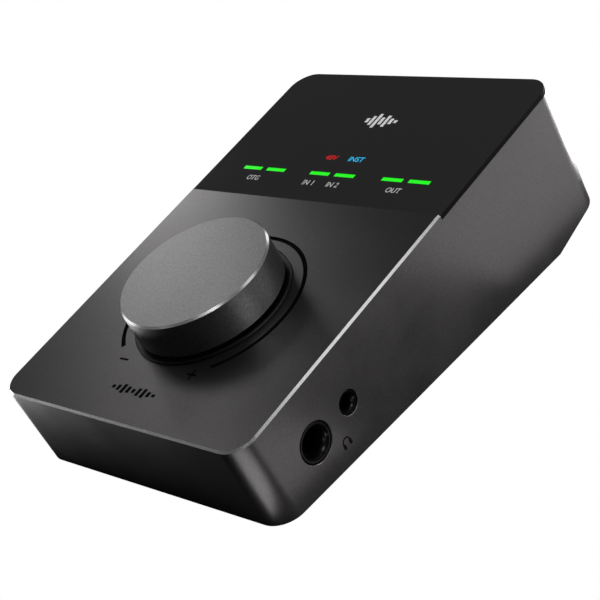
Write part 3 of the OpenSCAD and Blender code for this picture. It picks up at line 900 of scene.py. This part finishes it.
def printed(name, words, width, height, place, finish_made):
    """A printed legend, drawn as text, made a mesh and fitted to its width and height."""
    bpy.ops.object.select_all(action="DESELECT")
    bpy.ops.object.text_add()
    piece = named(name)
    piece.data.body = words
    piece.data.size = 0.01
    piece.data.extrude = 0.5 * sizes().ink
    piece.data.offset = 0.00007
    only(piece)
    bpy.ops.object.convert(target="MESH")
    piece = bpy.context.active_object
    low = Vector(map(min, zip(*(v.co for v in piece.data.vertices))))
    high = Vector(map(max, zip(*(v.co for v in piece.data.vertices))))
    centre = (low + high) / 2
    grow = Matrix.Diagonal((width * MM / (high.x - low.x), height * MM / (high.y - low.y), 1, 1))
    piece.matrix_world = grow @ Matrix.Translation(-centre)
    settle(piece)
    with editing(piece):
        bpy.ops.mesh.select_all(action="SELECT")
        bpy.ops.mesh.remove_doubles(threshold=1e-7)
    settle(piece, place)
    return coat(piece, finish_made)


class INTERFACE_OT_legends(PieceOperator, bpy.types.Operator):
    """Prints the plain function legends on the panel and lights two of them"""

    bl_idname = "interface.legends"
    bl_label = "Legends"

    def make(self):
        face = PANEL[1].z + 0.02
        bars = [middle(box) for box in solids("light_bars")]
        high = sizes().legend_height / MM
        below = bars[0].y - 4.35
        white = paint("legend_white", (0.55, 0.55, 0.56), 0.5)
        plain = [("OTG", -29.4, 5.0), ("IN 1", -5.9, 4.1), ("IN 2", 3.95, 4.5), ("OUT", 27.4, 5.3)]
        pieces = [printed("legend", w, wide, high, spot(x, below, face), white) for w, x, wide in plain]
        piece = joined("printed_legends", pieces)
        hand_in(piece, "chassis", "label_film")
        glows = (
            ("phantom_legend", "48V", "legend_pipe_red", "light_red", colours().phantom, 4.7),
            ("instrument_legend", "INST", "legend_pipe_blue", "light_blue", colours().instrument, 5.8),
        )
        for name, words, pipe, slot, light, wide in glows:
            at = middle(solids(pipe)[0])
            piece = printed(name, words, wide, high, spot(at.x, at.y, face), lit(slot + "_glow", light, 1.0))
            hand_in(piece, "chassis", slot)


class INTERFACE_OT_marks(PieceOperator, bpy.types.Operator):
    """Prints the plain level-meter marks in front of the knob and on the panel"""

    bl_idname = "interface.marks"
    bl_label = "Marks"

    def make(self):
        ink = black_ink()
        white = paint("mark_white", (0.8, 0.8, 0.8), 0.4)
        ramp = [0.35, 0.6, 1.0, 0.7, 0.45, 0.85, 1.0, 0.55, 0.3]
        face = sizes().ink / MM / 2
        self.bars("front_mark", ramp, 18.4, 3.2, spot(-0.7, 11.2, face), ink)
        pulse = [0.3, 0.65, 1.0, 0.5, 0.8, 0.4, 0.2]
        self.bars("panel_mark", pulse, 13.0, 6.6, spot(0.9, 127.3, PANEL[1].z + face), white)

    def bars(self, name, heights, width, height, place, finish_made):
        """A row of slim upright bars of different heights, like a level meter."""
        pitch = width / len(heights)
        half = sizes().ink / MM / 2
        made = []
        for i, share in enumerate(heights):
            x = (i + 0.5) * pitch - width / 2
            reach = height * share / 2
            made.append(block("bar", (x - pitch * 0.3, -reach, -half), (x + pitch * 0.3, reach, half)))
        piece = joined(name, made)
        settle(piece, place)
        coat(piece, finish_made)
        hand_in(piece, "chassis", "label_film")


class INTERFACE_OT_knob(PieceOperator, bpy.types.Operator):
    """Turns the knob cap with its blasted face, bright bevel and satin wall, and the ring round its foot"""

    bl_idname = "interface.knob"
    bl_label = "Knob"

    def make(self):
        low, high = span("knob_cap")
        radius = (high.x - low.x) / 2
        bevel = sizes().knob_bevel / MM
        wall, roof = 2.0, 2.5
        profile = [
            (radius - bevel, high.z), (radius, high.z - bevel), (radius, low.z + 0.2),
            (radius - 0.2, low.z), (radius - wall, low.z), (radius - wall, high.z - roof),
        ]
        piece = turned("knob", profile, spot(0, KNOB_U), steps=192)
        coat(piece, knob_wall_metal(), knob_face_metal(), cut_edge("knob_cut_edge", spot(0, KNOB_U)))
        touch_up(piece, 1, lambda c, n: c.z > high.z - 0.01 and n.z > 0.9)
        touch_up(piece, 2, lambda c, n: high.z - bevel < c.z < high.z and 0.3 < n.z < 0.9)
        smooth(piece)
        hand_in(piece, "knob_body", "knob_metal", "knob_cap")
        low, high = span("knob_ring")
        radius = (high.x - low.x) / 2
        inner = radius - 3.9
        profile = [(inner, 0), (radius, 0), (radius, high.z - 0.4), (radius - 0.4, high.z), (inner, high.z)]
        ring = turned("trim_ring", profile, spot(0, KNOB_U), steps=192, ease=0.08, closed=True)
        coat(ring, ring_metal())
        smooth(ring)
        hand_in(ring, "chassis", "black_plastic", "knob_ring")


NOSE = {"large": 5.65, "small": 3.35}
BORE = {"large": 3.2, "small": 1.8}
LINER = {"large": 4.42, "small": 2.62}


def nearest(node_name, place):
    """The solid of a CAD node that lies round a place's z axis, as its corners in that place's frame."""
    return min(solids(node_name, place.inverted()), key=lambda box: middle(box).to_2d().length)


class INTERFACE_OT_sockets(PieceOperator, bpy.types.Operator):
    """Models the two headphone sockets in the side and the three line sockets at the rear, with their linings"""

    bl_idname = "interface.sockets"
    bl_label = "Sockets"

    def make(self):
        for kind, jack, sleeve in (("large", "phones_jack", "phones_sleeve"), ("small", "small_jack", "small_sleeve")):
            at = middle(solids(sleeve)[0])
            self.row(kind, jack, sleeve, [side(at.y, at.z)])
        self.row("large", "rear_jacks", "rear_sleeves", [rear(at.x, at.z) for at in map(middle, solids("rear_sleeves"))])

    def row(self, kind, jack, sleeve, places):
        bodies = [self.body(kind, nearest(jack, place), place) for place in places]
        piece = joined(jack + "_body", bodies)
        smooth(piece)
        hand_in(piece, "chassis", "black_plastic", jack)
        piece = joined(sleeve + "_lining", [self.lining(kind, place) for place in places])
        coat(piece, turned_metal(sleeve + "_metal", (0.05, 0.05, 0.05), 0.22, places[0]))
        smooth(piece)
        hand_in(piece, "chassis", "steel", sleeve)

    def body(self, kind, box, place):
        """The moulded body behind the wall, its round nose in the wall, and the bore for the plug."""
        low, high = box
        inner = -sizes().wall / MM
        nose, bore, liner = NOSE[kind], BORE[kind], LINER[kind] + 0.03
        skin = glossy_plastic()
        piece = block("body", low, (high.x, high.y, inner), place, edge=0.35)
        coat(piece, black_plastic(), skin)
        stem = turned("nose", [(nose, inner - 1), (nose, high.z - 0.4), (nose - 0.4, high.z)], place, ease=0.25)
        combined(piece, [coat(stem, skin)], "UNION")
        hollow = [
            (bore, low.z + 2), (bore, -9.36), (liner, -9.36), (liner, high.z - 0.6),
            (liner + 0.25, high.z - 0.2), (liner + 0.45, high.z + 0.01), (liner + 0.45, 1),
        ]
        return combined(piece, [coat(turned("bore", hollow, place), skin)])

    def lining(self, kind, place):
        """A metal tube with a wide conical mouth."""
        bore, liner = BORE[kind], LINER[kind]
        throat = 1.5 * (liner - bore) + 1.2
        profile = [
            (bore, -9.35), (liner, -9.35), (liner, -0.8), (liner - 0.1, -0.65), (liner - 0.22, -0.8), (bore, -throat),
        ]
        return turned("liner", profile, place, closed=True)


class INTERFACE_OT_combo(PieceOperator, bpy.types.Operator):
    """Models the combined microphone and line socket with its contacts, latch and panel screws"""

    bl_idname = "interface.combo"
    bl_label = "Combined socket"

    def make(self):
        low, high = solids("combo_socket")[0]
        place = rear((low.x + high.x) / 2, (low.z + high.z) / 2)
        low, high = solids("combo_socket", place.inverted())[0]
        inner = -sizes().wall / MM
        skin, dull = glossy_plastic(), black_plastic()
        piece = coat(block("combo_body", low, (high.x, high.y, inner), place, edge=0.5), dull, skin)
        flange = [(11.6, inner - 1), (11.6, high.z - 0.5), (11.1, high.z)]
        combined(piece, [coat(turned("flange", flange, place, ease=0.2, steps=128), skin)], "UNION")
        ring = [(7.8, -14), (9.9, -14), (9.9, -0.8), (10.2, 1), (7.6, 1), (7.8, -0.8)]
        tools = [turned("ring", ring, place, steps=128, closed=True), turned("core", [(8, -1), (8, 2)], place)]
        tools.append(turned("bore", [(3.2, low.z + 1.5), (3.2, -1.6), (3.8, -1), (3.8, 2)], place))
        for turn in (30, 150, 270):
            hole = [(1.4, -13), (1.4, -1.2), (1.6, -1), (1.6, 2)]
            away = place @ Matrix.Rotation(math.radians(turn), 4, "Z") @ Matrix.Translation((5.7 * MM, 0, 0))
            tools.append(turned("pin", hole, away, steps=48))
        for box in solids("combo_screws"):
            at = middle(box)
            tools.append(turned("screw", [(1.25, -11.5), (1.25, 1)], rear(at.x, at.z), steps=32))
        combined(piece, [coat(tool, skin) for tool in tools])
        with editing(piece):
            bpy.ops.mesh.select_all(action="SELECT")
            bpy.ops.mesh.remove_doubles(threshold=1e-6)
        smooth(piece)
        hand_in(piece, "chassis", "black_plastic", "combo_socket")
        latch = block("combo_latch", (-2.3, -11.2, inner), (2.3, -10.15, -0.12), place, edge=0.3)
        coat(latch, sheet_steel())
        smooth(latch)
        hand_in(latch, "chassis", "steel")
        contacts = []
        for turn in (30, 150, 270):
            away = place @ Matrix.Rotation(math.radians(turn), 4, "Z") @ Matrix.Translation((5.7 * MM, 0, 0))
            tube = [(0.9, -13), (1.36, -13), (1.36, -3), (0.9, -3)]
            contacts.append(turned("contact", tube, away, steps=48, ease=0.12, closed=True))
        piece = joined("combo_contact_tubes", contacts)
        coat(piece, gold())
        smooth(piece)
        hand_in(piece, "chassis", "brass", "combo_contacts")
        screws = [sunk_screw(rear(at.x, at.z), -0.1, 2.5, 1.2, 1.3, 8) for at in map(middle, solids("combo_screws"))]
        piece = joined("combo_panel_screws", screws)
        coat(piece, black_screw())
        smooth(piece)
        hand_in(piece, "chassis", "steel", "combo_screws")


def sunk_screw(place, face, head, thread, sink, reach):
    """A countersunk screw with a six-sided recess, its head in the plane at face, in millimetres."""
    pitch = 0.5
    profile = [(thread * 0.6, face - reach), (thread, face - reach + 0.6)]
    for step in range(int((reach - sink - 1.6) / pitch)):
        z = face - reach + 0.8 + step * pitch
        profile += [(thread, z), (thread - 0.22, z + pitch / 2)]
    profile += [(thread, face - sink - 0.3), (thread, face - sink), (head, face - 0.12), (head - 0.08, face)]
    piece = turned("screw", profile, place, steps=32)
    recess = turned("recess", [(thread * 0.62, face - 0.9), (thread * 0.68, face + 1)], place, steps=6)
    return combined(piece, [recess])


def round_screw(place, head, rise, thread, reach, head_above=True):
    """A pan-head screw with a six-sided recess. Its head rises from the plane of the place."""
    pitch = 0.5
    profile = [(thread * 0.6, -reach), (thread, -reach + 0.6)]
    for step in range(int((reach - 1.4) / pitch)):
        z = -reach + 0.8 + step * pitch
        profile += [(thread, z), (thread - 0.22, z + pitch / 2)]
    profile += [(thread, -0.4), (thread, 0), (head, 0), (head, rise * 0.45), (head * 0.85, rise * 0.85), (head * 0.5, rise)]
    piece = turned("screw", profile, place, steps=32)
    recess = turned("recess", [(head * 0.36, rise * 0.3), (head * 0.4, rise + 1)], place, steps=6)
    return combined(piece, [recess])


class INTERFACE_OT_ports(PieceOperator, bpy.types.Operator):
    """Models the two flat ports with their tongues, and the two push buttons at the rear"""

    bl_idname = "interface.ports"
    bl_label = "Ports and buttons"

    def make(self):
        shells, tongues = [], []
        for box in solids("usb_ports"):
            at = middle(box)
            place = rear(at.x, at.z)
            half_w, half_h = (box[1].x - box[0].x) / 2, (box[1].z - box[0].z) / 2
            shell = flat_round("shell", half_w, half_h, -7.6, -0.2, place, edge=0.12)
            shells.append(combined(shell, [flat_round("hollow", half_w - 0.3, half_h - 0.3, -7.2, 2, place)]))
            stop = flat_round("stop", half_w - 0.32, half_h - 0.32, -7.2, -5.6, place)
            tongue = block("tongue", (-3.35, -0.35, -6), (3.35, 0.35, -0.8), place, edge=0.12)
            tongues.append(combined(stop, [tongue], "UNION"))
        piece = joined("port_shells", shells)
        coat(piece, sheet_steel())
        smooth(piece)
        hand_in(piece, "chassis", "steel", "usb_ports")
        piece = joined("port_tongues", tongues)
        coat(piece, black_plastic())
        smooth(piece)
        hand_in(piece, "chassis", "black_plastic", "usb_tongues")
        for name, slot, made in (
            ("button_48v", "red_plastic", plastic("red_plastic", (0.42, 0.012, 0.012), 0.32)),
            ("button_inst", "black_plastic", black_plastic()),
        ):
            box = solids(name)[0]
            place = rear(middle(box).x, middle(box).z)
            low, high = solids(name, place.inverted())[0]
            skirt = -sizes().wall / MM - 0.3
            profile = [
                (1.8, low.z), (1.8, skirt), (2.6, skirt), (2.6, high.z - 0.35), (2.25, high.z),
                (2.0, high.z), (1.2, high.z - 0.22), (0.4, high.z - 0.28),
            ]
            piece = turned(name + "_cap", profile, place, steps=64, ease=0.08)
            coat(piece, made)
            smooth(piece)
            hand_in(piece, name + "_body", slot, name)


def flat_round(name, half_w, half_h, low, high, place, edge=0.0):
    """A flat bar with round ends, standing along z."""
    piece = block(name, (-half_w, -half_h, low), (half_w, half_h, high))
    pick(piece, "EDGE", lambda a, b: abs(a.z - b.z) > 0.5)
    with editing(piece, "EDGE"):
        bpy.ops.mesh.bevel(offset=half_h * 0.98 * MM, segments=12, affect="EDGES")
    if edge:
        pick(piece, "FACE", lambda c, n: n.z > 0.9)
        with editing(piece):
            bpy.ops.mesh.region_to_loop()
            bpy.context.tool_settings.mesh_select_mode = (False, True, False)
            bpy.ops.mesh.bevel(offset=edge * MM, segments=2, affect="EDGES")
    return settle(piece, place)


class INTERFACE_OT_base(PieceOperator, bpy.types.Operator):
    """Models the painted base tray with its sunk screws, rubber feet and blank label"""

    bl_idname = "interface.base"
    bl_label = "Base"

    def make(self):
        gap = 0.12
        inset = sizes().wall / MM + gap
        thick = 2 * MM
        piece = body_block("base_plate", inset, 0.0)
        settle(piece, SLOPE)
        trim_underside(piece)
        room = body_block("room", inset - 1, 1.0)
        settle(room, SLOPE)
        trim_underside(room, thick)
        skin = tray_paint()
        coat(piece, skin)
        combined(piece, [coat(room, skin)])
        tools = []
        floor_z = span_flat("base_tray")[0].z
        screws = solids("base_screws", Matrix())
        for box in screws:
            at = middle(box)
            place = Matrix.Translation((at.x * MM, at.y * MM, floor_z * MM))
            tools.append(turned("sink", [(3.15, -0.5), (3.05, 0), (1.65, 1.5), (1.65, 4)], place, steps=48))
        for box in solids("feet", Matrix()):
            at = middle(box)
            place = Matrix.Translation((at.x * MM, at.y * MM, floor_z * MM))
            tools.append(turned("seat", [(6.1, -1), (6.1, 0.5)], place, steps=64))
        combined(piece, [coat(tool, skin) for tool in tools])
        smooth(piece)
        hand_in(piece, "chassis", "tray_paint", "base_tray")
        feet = [self.foot(box, floor_z) for box in solids("feet", Matrix())]
        piece = joined("rubber_feet", feet)
        coat(piece, rubber())
        smooth(piece)
        hand_in(piece, "chassis", "rubber", "feet")
        made = []
        for box in screws:
            at = middle(box)
            place = Matrix.Translation((at.x * MM, at.y * MM, floor_z * MM)) @ Matrix.Rotation(math.pi, 4, "X")
            made.append(sunk_screw(place, -0.1, 2.85, 1.45, 1.4, 9.5))
        piece = joined("base_sunk_screws", made)
        coat(piece, black_screw())
        smooth(piece)
        hand_in(piece, "chassis", "steel", "base_screws")
        low, high = span_flat("rating_label")
        label = block("blank_label", low, high)
        pick(label, "EDGE", lambda a, b: abs(a.z - b.z) > 0.05)
        with editing(label, "EDGE"):
            bpy.ops.mesh.bevel(offset=2 * MM, segments=8, affect="EDGES")
        coat(label, label_foil())
        smooth(label)
        hand_in(label, "chassis", "label_film", "rating_label")

    def foot(self, box, floor_z):
        """A round rubber foot: a soft rim round a shallow dished sole."""
        low, high = box
        at = middle(box)
        radius = (high.x - low.x) / 2
        profile = [
            (radius, high.z), (radius, low.z + 0.45), (radius - 0.45, low.z), (radius - 1.4, low.z),
            (radius - 1.9, low.z + 0.25), (0.5, low.z + 0.25),
        ]
        return turned("foot", profile, Matrix.Translation((at.x * MM, at.y * MM, 0)), steps=64, ease=0.15)


class INTERFACE_OT_fasteners(PieceOperator, bpy.types.Operator):
    """Turns the small screws, spacers, the encoder's nut and the capacitors inside"""

    bl_idname = "interface.fasteners"
    bl_label = "Fasteners and capacitors"

    def make(self):
        over = Matrix.Rotation(math.pi, 4, "X")
        board_low, board_high = span("main_board")
        made = []
        for box in solids("board_screws"):
            at = middle(box)
            made.append(round_screw(spot(at.x, at.y, board_low.z) @ over, 2.7, 2, 1.45, 5))
        self.finished("boss_screws", made, zinc(), "steel", "board_screws")
        made = []
        for box in solids("spacer_screws"):
            at = middle(box)
            if box[1].z > board_high.z:
                place = spot(at.x, at.y, board_high.z)
            else:
                place = spot(at.x, at.y, span("io_board")[0].z) @ over
            made.append(round_screw(place, 2.2, 1.6, 1.25, 5.5))
        self.finished("stand_screws", made, zinc(), "steel", "spacer_screws")
        made = []
        for low, high in solids("spacers"):
            at = (low + high) / 2
            tube = [(1.3, low.z), (2.4, low.z), (2.4, high.z), (1.3, high.z)]
            made.append(turned("stand", tube, spot(at.x, at.y), steps=48, ease=0.25, closed=True))
        self.finished("brass_stands", made, brass(), "brass", "spacers")
        low, high = span("encoder_nut")
        nut = [(3.55, low.z), (5.5, low.z), (5.77, low.z + 0.35), (5.77, high.z - 0.35), (5.5, high.z), (3.55, high.z)]
        nut_piece = turned("nut", nut, spot(0, KNOB_U), steps=6, closed=True)
        self.finished("hex_nut", [nut_piece], zinc(), "steel", "encoder_nut")
        made = []
        for low, high in solids("capacitors"):
            at = (low + high) / 2
            radius = (high.x - low.x) / 2
            can = [
                (radius, high.z), (radius, low.z + 2.4), (radius - 0.25, low.z + 2.2), (radius - 0.25, low.z + 2.0),
                (radius, low.z + 1.8), (radius, low.z + 0.3), (radius - 0.4, low.z), (0.4, low.z + 0.05),
            ]
            made.append(turned("can", can, spot(at.x, at.y), steps=48, ease=0.12))
        self.finished("can_capacitors", made, sheet_steel("capacitor_metal", (0.6, 0.6, 0.61)), "can_metal", "capacitors")

    def finished(self, name, made, metal, slot, node_name):
        piece = coat(joined(name, made), metal)
        smooth(piece)
        hand_in(piece, "chassis", slot, node_name)


# ---- finishes of the CAD nodes that keep their shape ----


def glossy_plastic():
    return plastic("glossy_plastic", (0.002, 0.002, 0.002), 0.14, depth=0.0005, Specular_IOR_Level=0.08)


def rubber():
    return plastic("rubber", (0.012, 0.012, 0.012), 0.75, grain=2500.0, depth=0.01)


def tray_paint():
    return plastic("tray_paint", (0.014, 0.014, 0.0145), 0.5, grain=1400.0, depth=0.02)


def black_screw():
    return blasted("black_screw", (0.03, 0.03, 0.031), 0.32, grain=5000.0)


def zinc():
    return blasted("zinc", (0.55, 0.55, 0.57), 0.28, grain=4000.0, mottle=0.2)


def brass():
    return blasted("brass", (0.62, 0.42, 0.16), 0.25, grain=4000.0, mottle=0.15)


def gold():
    return blasted("gold", (0.8, 0.55, 0.2), 0.2, grain=5000.0)


def sheet_steel(name="sheet_steel", base=(0.5, 0.5, 0.51)):
    """Rolled sheet: fine lines along x, with a little cloudiness."""
    made, tree, shader = finish(name, base, 0.25, 1.0)
    if tree:
        place = tree.nodes.new("ShaderNodeTexCoord").outputs["Object"]
        drawn = node(tree, "ShaderNodeMapping", Vector=place)
        drawn.inputs["Scale"].default_value = (60, 5000, 5000)
        lines = node(tree, "ShaderNodeTexNoise", Vector=drawn.outputs[0], Scale=1.0, Detail=3.0)
        use = effect(tree, handling_group(), Size=120.0, Amount=1.0)
        shade = node(tree, "ShaderNodeMapRange", Value=lines.outputs["Fac"], _1=0.3, _2=0.7, _3=0.85, _4=1.12)
        tint(tree, shader, base, shade.outputs[0])
        rough_range(tree, shader, use.outputs["Smudge"], 0.24, 0.36)
        bump(tree, shader, lines.outputs["Fac"], 0.002)
    return made


def solder_mask():
    """Green board lacquer over copper tracks: the tracks show as a lighter pattern of straight runs."""
    base = (0.008, 0.09, 0.035)
    made, tree, shader = finish("solder_mask", base, 0.3)
    if tree:
        place = tree.nodes.new("ShaderNodeTexCoord").outputs["Object"]
        runs = node(
            tree, "ShaderNodeTexVoronoi", Vector=place, Scale=330.0, distance="MANHATTAN", Randomness=0.75,
        )
        tracks = node(tree, "ShaderNodeMapRange", Value=runs.outputs["Distance"], _1=0.42, _2=0.46)
        holes = node(tree, "ShaderNodeMapRange", Value=runs.outputs["Distance"], _1=0.1, _2=0.07)
        lift = math_node(tree, "MULTIPLY", tracks.outputs[0], 0.7)
        pads = math_node(tree, "MULTIPLY", holes.outputs[0], 1.6)
        shade = math_node(tree, "ADD", math_node(tree, "ADD", lift, pads), 0.8)
        tint(tree, shader, base, shade)
        use = effect(tree, handling_group(), Size=50.0, Amount=1.0)
        rough_range(tree, shader, use.outputs["Smudge"], 0.25, 0.4)
        bump(tree, shader, tracks.outputs[0], 0.03)
    return made


def ribbon():
    """Flat cable: parallel conductors under a pale skin, as stripes across x."""
    base = (0.5, 0.52, 0.56)
    made, tree, shader = finish("ribbon", base, 0.4)
    if tree:
        place = tree.nodes.new("ShaderNodeTexCoord").outputs["Object"]
        wires = node(tree, "ShaderNodeTexWave", Vector=place, Scale=314.0, wave_profile="SIN")
        shade = node(tree, "ShaderNodeMapRange", Value=wires.outputs["Fac"], _1=0.2, _2=0.8, _3=0.65, _4=1.1)
        tint(tree, shader, base, shade.outputs[0])
        bump(tree, shader, wires.outputs["Fac"], 0.1)
    return made


def lamp_glass():
    return plastic("lamp_glass", (0.62, 0.6, 0.5), 0.2, grain=6000.0, depth=0.001)


def label_foil():
    return blasted("label_foil", (0.42, 0.42, 0.43), 0.4, grain=5000.0, mottle=0.08)


def chip_epoxy():
    return plastic("chip_epoxy", (0.016, 0.016, 0.017), 0.55, grain=7000.0, depth=0.004)


def pale_plastic():
    return plastic("pale_plastic", (0.6, 0.57, 0.48), 0.42)


class INTERFACE_OT_inside(PieceOperator, bpy.types.Operator):
    """Gives the boards, lamps, chips and encoder parts that keep their CAD shape their finishes"""

    bl_idname = "interface.inside"
    bl_label = "Inner parts"

    def make(self):
        shaft = spot(0, KNOB_U)
        finishes = {
            solder_mask(): ["main_board", "io_board"],
            sheet_steel(): ["shield_can", "crystal"],
            chip_epoxy(): ["main_chips", "inductors"],
            black_plastic(): ["light_shroud", "encoder_body", "switch_bodies", "knob_insert"],
            pale_plastic(): ["link_sockets", "encoder_plunger"],
            ribbon(): ["link_cable"],
            lamp_glass(): ["indicator_leds"],
            turned_metal("shaft_metal", (0.5, 0.5, 0.51), 0.25, shaft): [
                "encoder_bushing", "encoder_washer", "encoder_shaft",
            ],
            lit("legend_red", colours().phantom, 0.6): ["legend_pipe_red"],
            lit("legend_blue", colours().instrument, 0.6): ["legend_pipe_blue"],
        }
        for made, names in finishes.items():
            for name in names:
                coat(CAD[name], made)


class INTERFACE_OT_stage(PieceOperator, bpy.types.Operator):
    """Lays the floor, hangs the soft lights and sets the camera"""

    bl_idname = "interface.stage"
    bl_label = "Stage"

    def make(self):
        scene = bpy.context.scene
        scene.view_settings.view_transform = "Standard"
        self.floor()
        self.world(scene)
        self.lights()
        camera = bpy.data.cameras.new("camera")
        camera.lens = 92.8207
        camera.sensor_width = 36
        camera.clip_start = 0.01
        holder = bpy.data.objects.new("camera", camera)
        holder.matrix_world = Matrix((
            (0.704484, -0.119371, 0.699609, 0.3131),
            (0.629826, 0.55953, -0.538745, -0.24466),
            (-0.327142, 0.820169, 0.469363, 0.22676),
            (0, 0, 0, 1),
        ))
        scene.collection.objects.link(holder)
        scene.camera = holder

    def floor(self):
        """A pale floor, lit evenly for the eye and dark in reflections, where the cards on it take its place."""
        bpy.ops.object.select_all(action="DESELECT")
        bpy.ops.mesh.primitive_plane_add(size=12, location=(0, 0, -0.00002))
        piece = named("floor")
        settle(piece)
        made, tree, shader = finish("floor_paper", (0.02, 0.02, 0.02), 0.9, Specular_IOR_Level=0.0)
        rays = tree.nodes.new("ShaderNodeLightPath")
        glow = node(tree, "ShaderNodeEmission", Color=(1, 1, 1, 1), Strength=studio().backdrop)
        mix = node(tree, "ShaderNodeMixShader", Fac=rays.outputs["Is Camera Ray"])
        tree.links.new(shader.outputs[0], mix.inputs[1])
        tree.links.new(glow.outputs[0], mix.inputs[2])
        tree.links.new(mix.outputs[0], tree.nodes["Material Output"].inputs["Surface"])
        coat(piece, made)

    def world(self, scene):
        world = bpy.data.worlds.new("studio")
        world.use_nodes = True
        scene.world = world
        tree = world.node_tree
        back = tree.nodes["Background"]
        rays = tree.nodes.new("ShaderNodeLightPath")
        level = node(
            tree, "ShaderNodeMapRange", Value=rays.outputs["Is Camera Ray"], _3=studio().fill, _4=studio().backdrop,
        )
        tree.links.new(level.outputs[0], back.inputs["Strength"])
        back.inputs["Color"].default_value = (1, 1, 1, 1)

    def lights(self):
        for name, place, size, power in SOFT_BOXES:
            soft_box(name, place, size, power * studio().power, (0, 0, 0.03))
        for name, place, size, power in FLOOR_CARDS:
            soft_box(name, place, size, power * studio().power, (place[0], place[1], 1))


# name, place, size, power
SOFT_BOXES = (
    ("right_rear_box", (0.375, 0.314, 0.134), (0.22, 0.22), 2.6),
    ("right_box", (0.489, 0.0, 0.134), (0.22, 0.22), 3.37),
    ("left_box", (-0.275, 0.125, 0.135), (0.07, 0.07), 0.135),
    ("left_front_box", (-0.18, 0.01, 0.2), (0.07, 0.05), 0.025),
    ("left_high_box", (-0.321, 0.0, 0.413), (0.22, 0.22), 0.08),
    ("edge_box", (0.19, 0.07, 0.24), (0.1, 0.1), 0.024),
    ("top_box", (0.125, -0.205, 0.47), (0.2, 0.2), 0.26),
    ("front_left_box", (-0.2, -0.3, 0.38), (0.2, 0.2), 0.08),
    ("left_low_box", (-0.46, -0.167, 0.134), (0.22, 0.22), 0.15),
    ("rear_box", (-0.085, 0.48, 0.134), (0.22, 0.22), 0.2),
)
FLOOR_CARDS = (
    ("right_card", (0.1, 0.098, 0.0005), (0.08, 0.12), 0.034),
    ("middle_card", (0.085, -0.05, 0.0005), (0.05, 0.03), 0.0045),
    ("rear_card", (0.02, 0.17, 0.0005), (0.12, 0.1), 0.6),
    ("front_card", (-0.16, -0.1, 0.0005), (0.05, 0.05), 4.1),
    ("corner_card", (0.063, -0.094, 0.0005), (0.032, 0.032), 0.0085),
)


def soft_box(name, place, size, power, aim):
    """A rectangular soft light at a place, aimed at a point. The camera doesn't see the box itself."""
    light = bpy.data.lights.new(name, "AREA")
    light.shape = "RECTANGLE"
    light.size, light.size_y = size
    light.energy = power
    holder = bpy.data.objects.new(name, light)
    holder.location = place
    holder.rotation_euler = (Vector(aim) - Vector(place)).to_track_quat("-Z", "Y").to_euler()
    holder.visible_camera = False
    bpy.context.scene.collection.objects.link(holder)


class INTERFACE_PT_panel(bpy.types.Panel):
    """Lists the pieces that the add-on makes"""

    bl_idname = "INTERFACE_PT_panel"
    bl_label = "Audio interface"
    bl_space_type = "VIEW_3D"
    bl_region_type = "UI"
    bl_category = "Interface"

    def draw(self, context):
        for settings in (sizes(), colours(), studio()):
            for label in settings.bl_rna.properties.keys():
                if label not in ("rna_type", "name"):
                    self.layout.prop(settings, label)
        for operator in OPERATORS:
            self.layout.operator(operator.bl_idname)


OPERATORS = (
    INTERFACE_OT_housing,
    INTERFACE_OT_panel,
    INTERFACE_OT_lights,
    INTERFACE_OT_legends,
    INTERFACE_OT_marks,
    INTERFACE_OT_knob,
    INTERFACE_OT_sockets,
    INTERFACE_OT_combo,
    INTERFACE_OT_ports,
    INTERFACE_OT_base,
    INTERFACE_OT_fasteners,
    INTERFACE_OT_inside,
    INTERFACE_OT_stage,
)
CLASSES = (InterfaceSizes, InterfaceColours, InterfaceStudio, *OPERATORS, INTERFACE_PT_panel)


def register():
    for made in CLASSES:
        bpy.utils.register_class(made)
    bpy.types.Scene.interface_sizes = bpy.props.PointerProperty(type=InterfaceSizes)
    bpy.types.Scene.interface_colours = bpy.props.PointerProperty(type=InterfaceColours)
    bpy.types.Scene.interface_studio = bpy.props.PointerProperty(type=InterfaceStudio)


def unregister():
    del bpy.types.Scene.interface_studio
    del bpy.types.Scene.interface_colours
    del bpy.types.Scene.interface_sizes
    for made in reversed(CLASSES):
        bpy.utils.unregister_class(made)


def main():
    register()
    for operator in OPERATORS:
        group_name, call = operator.bl_idname.split(".")
        getattr(getattr(bpy.ops, group_name), call)()


if __name__ == "__main__":
    main()
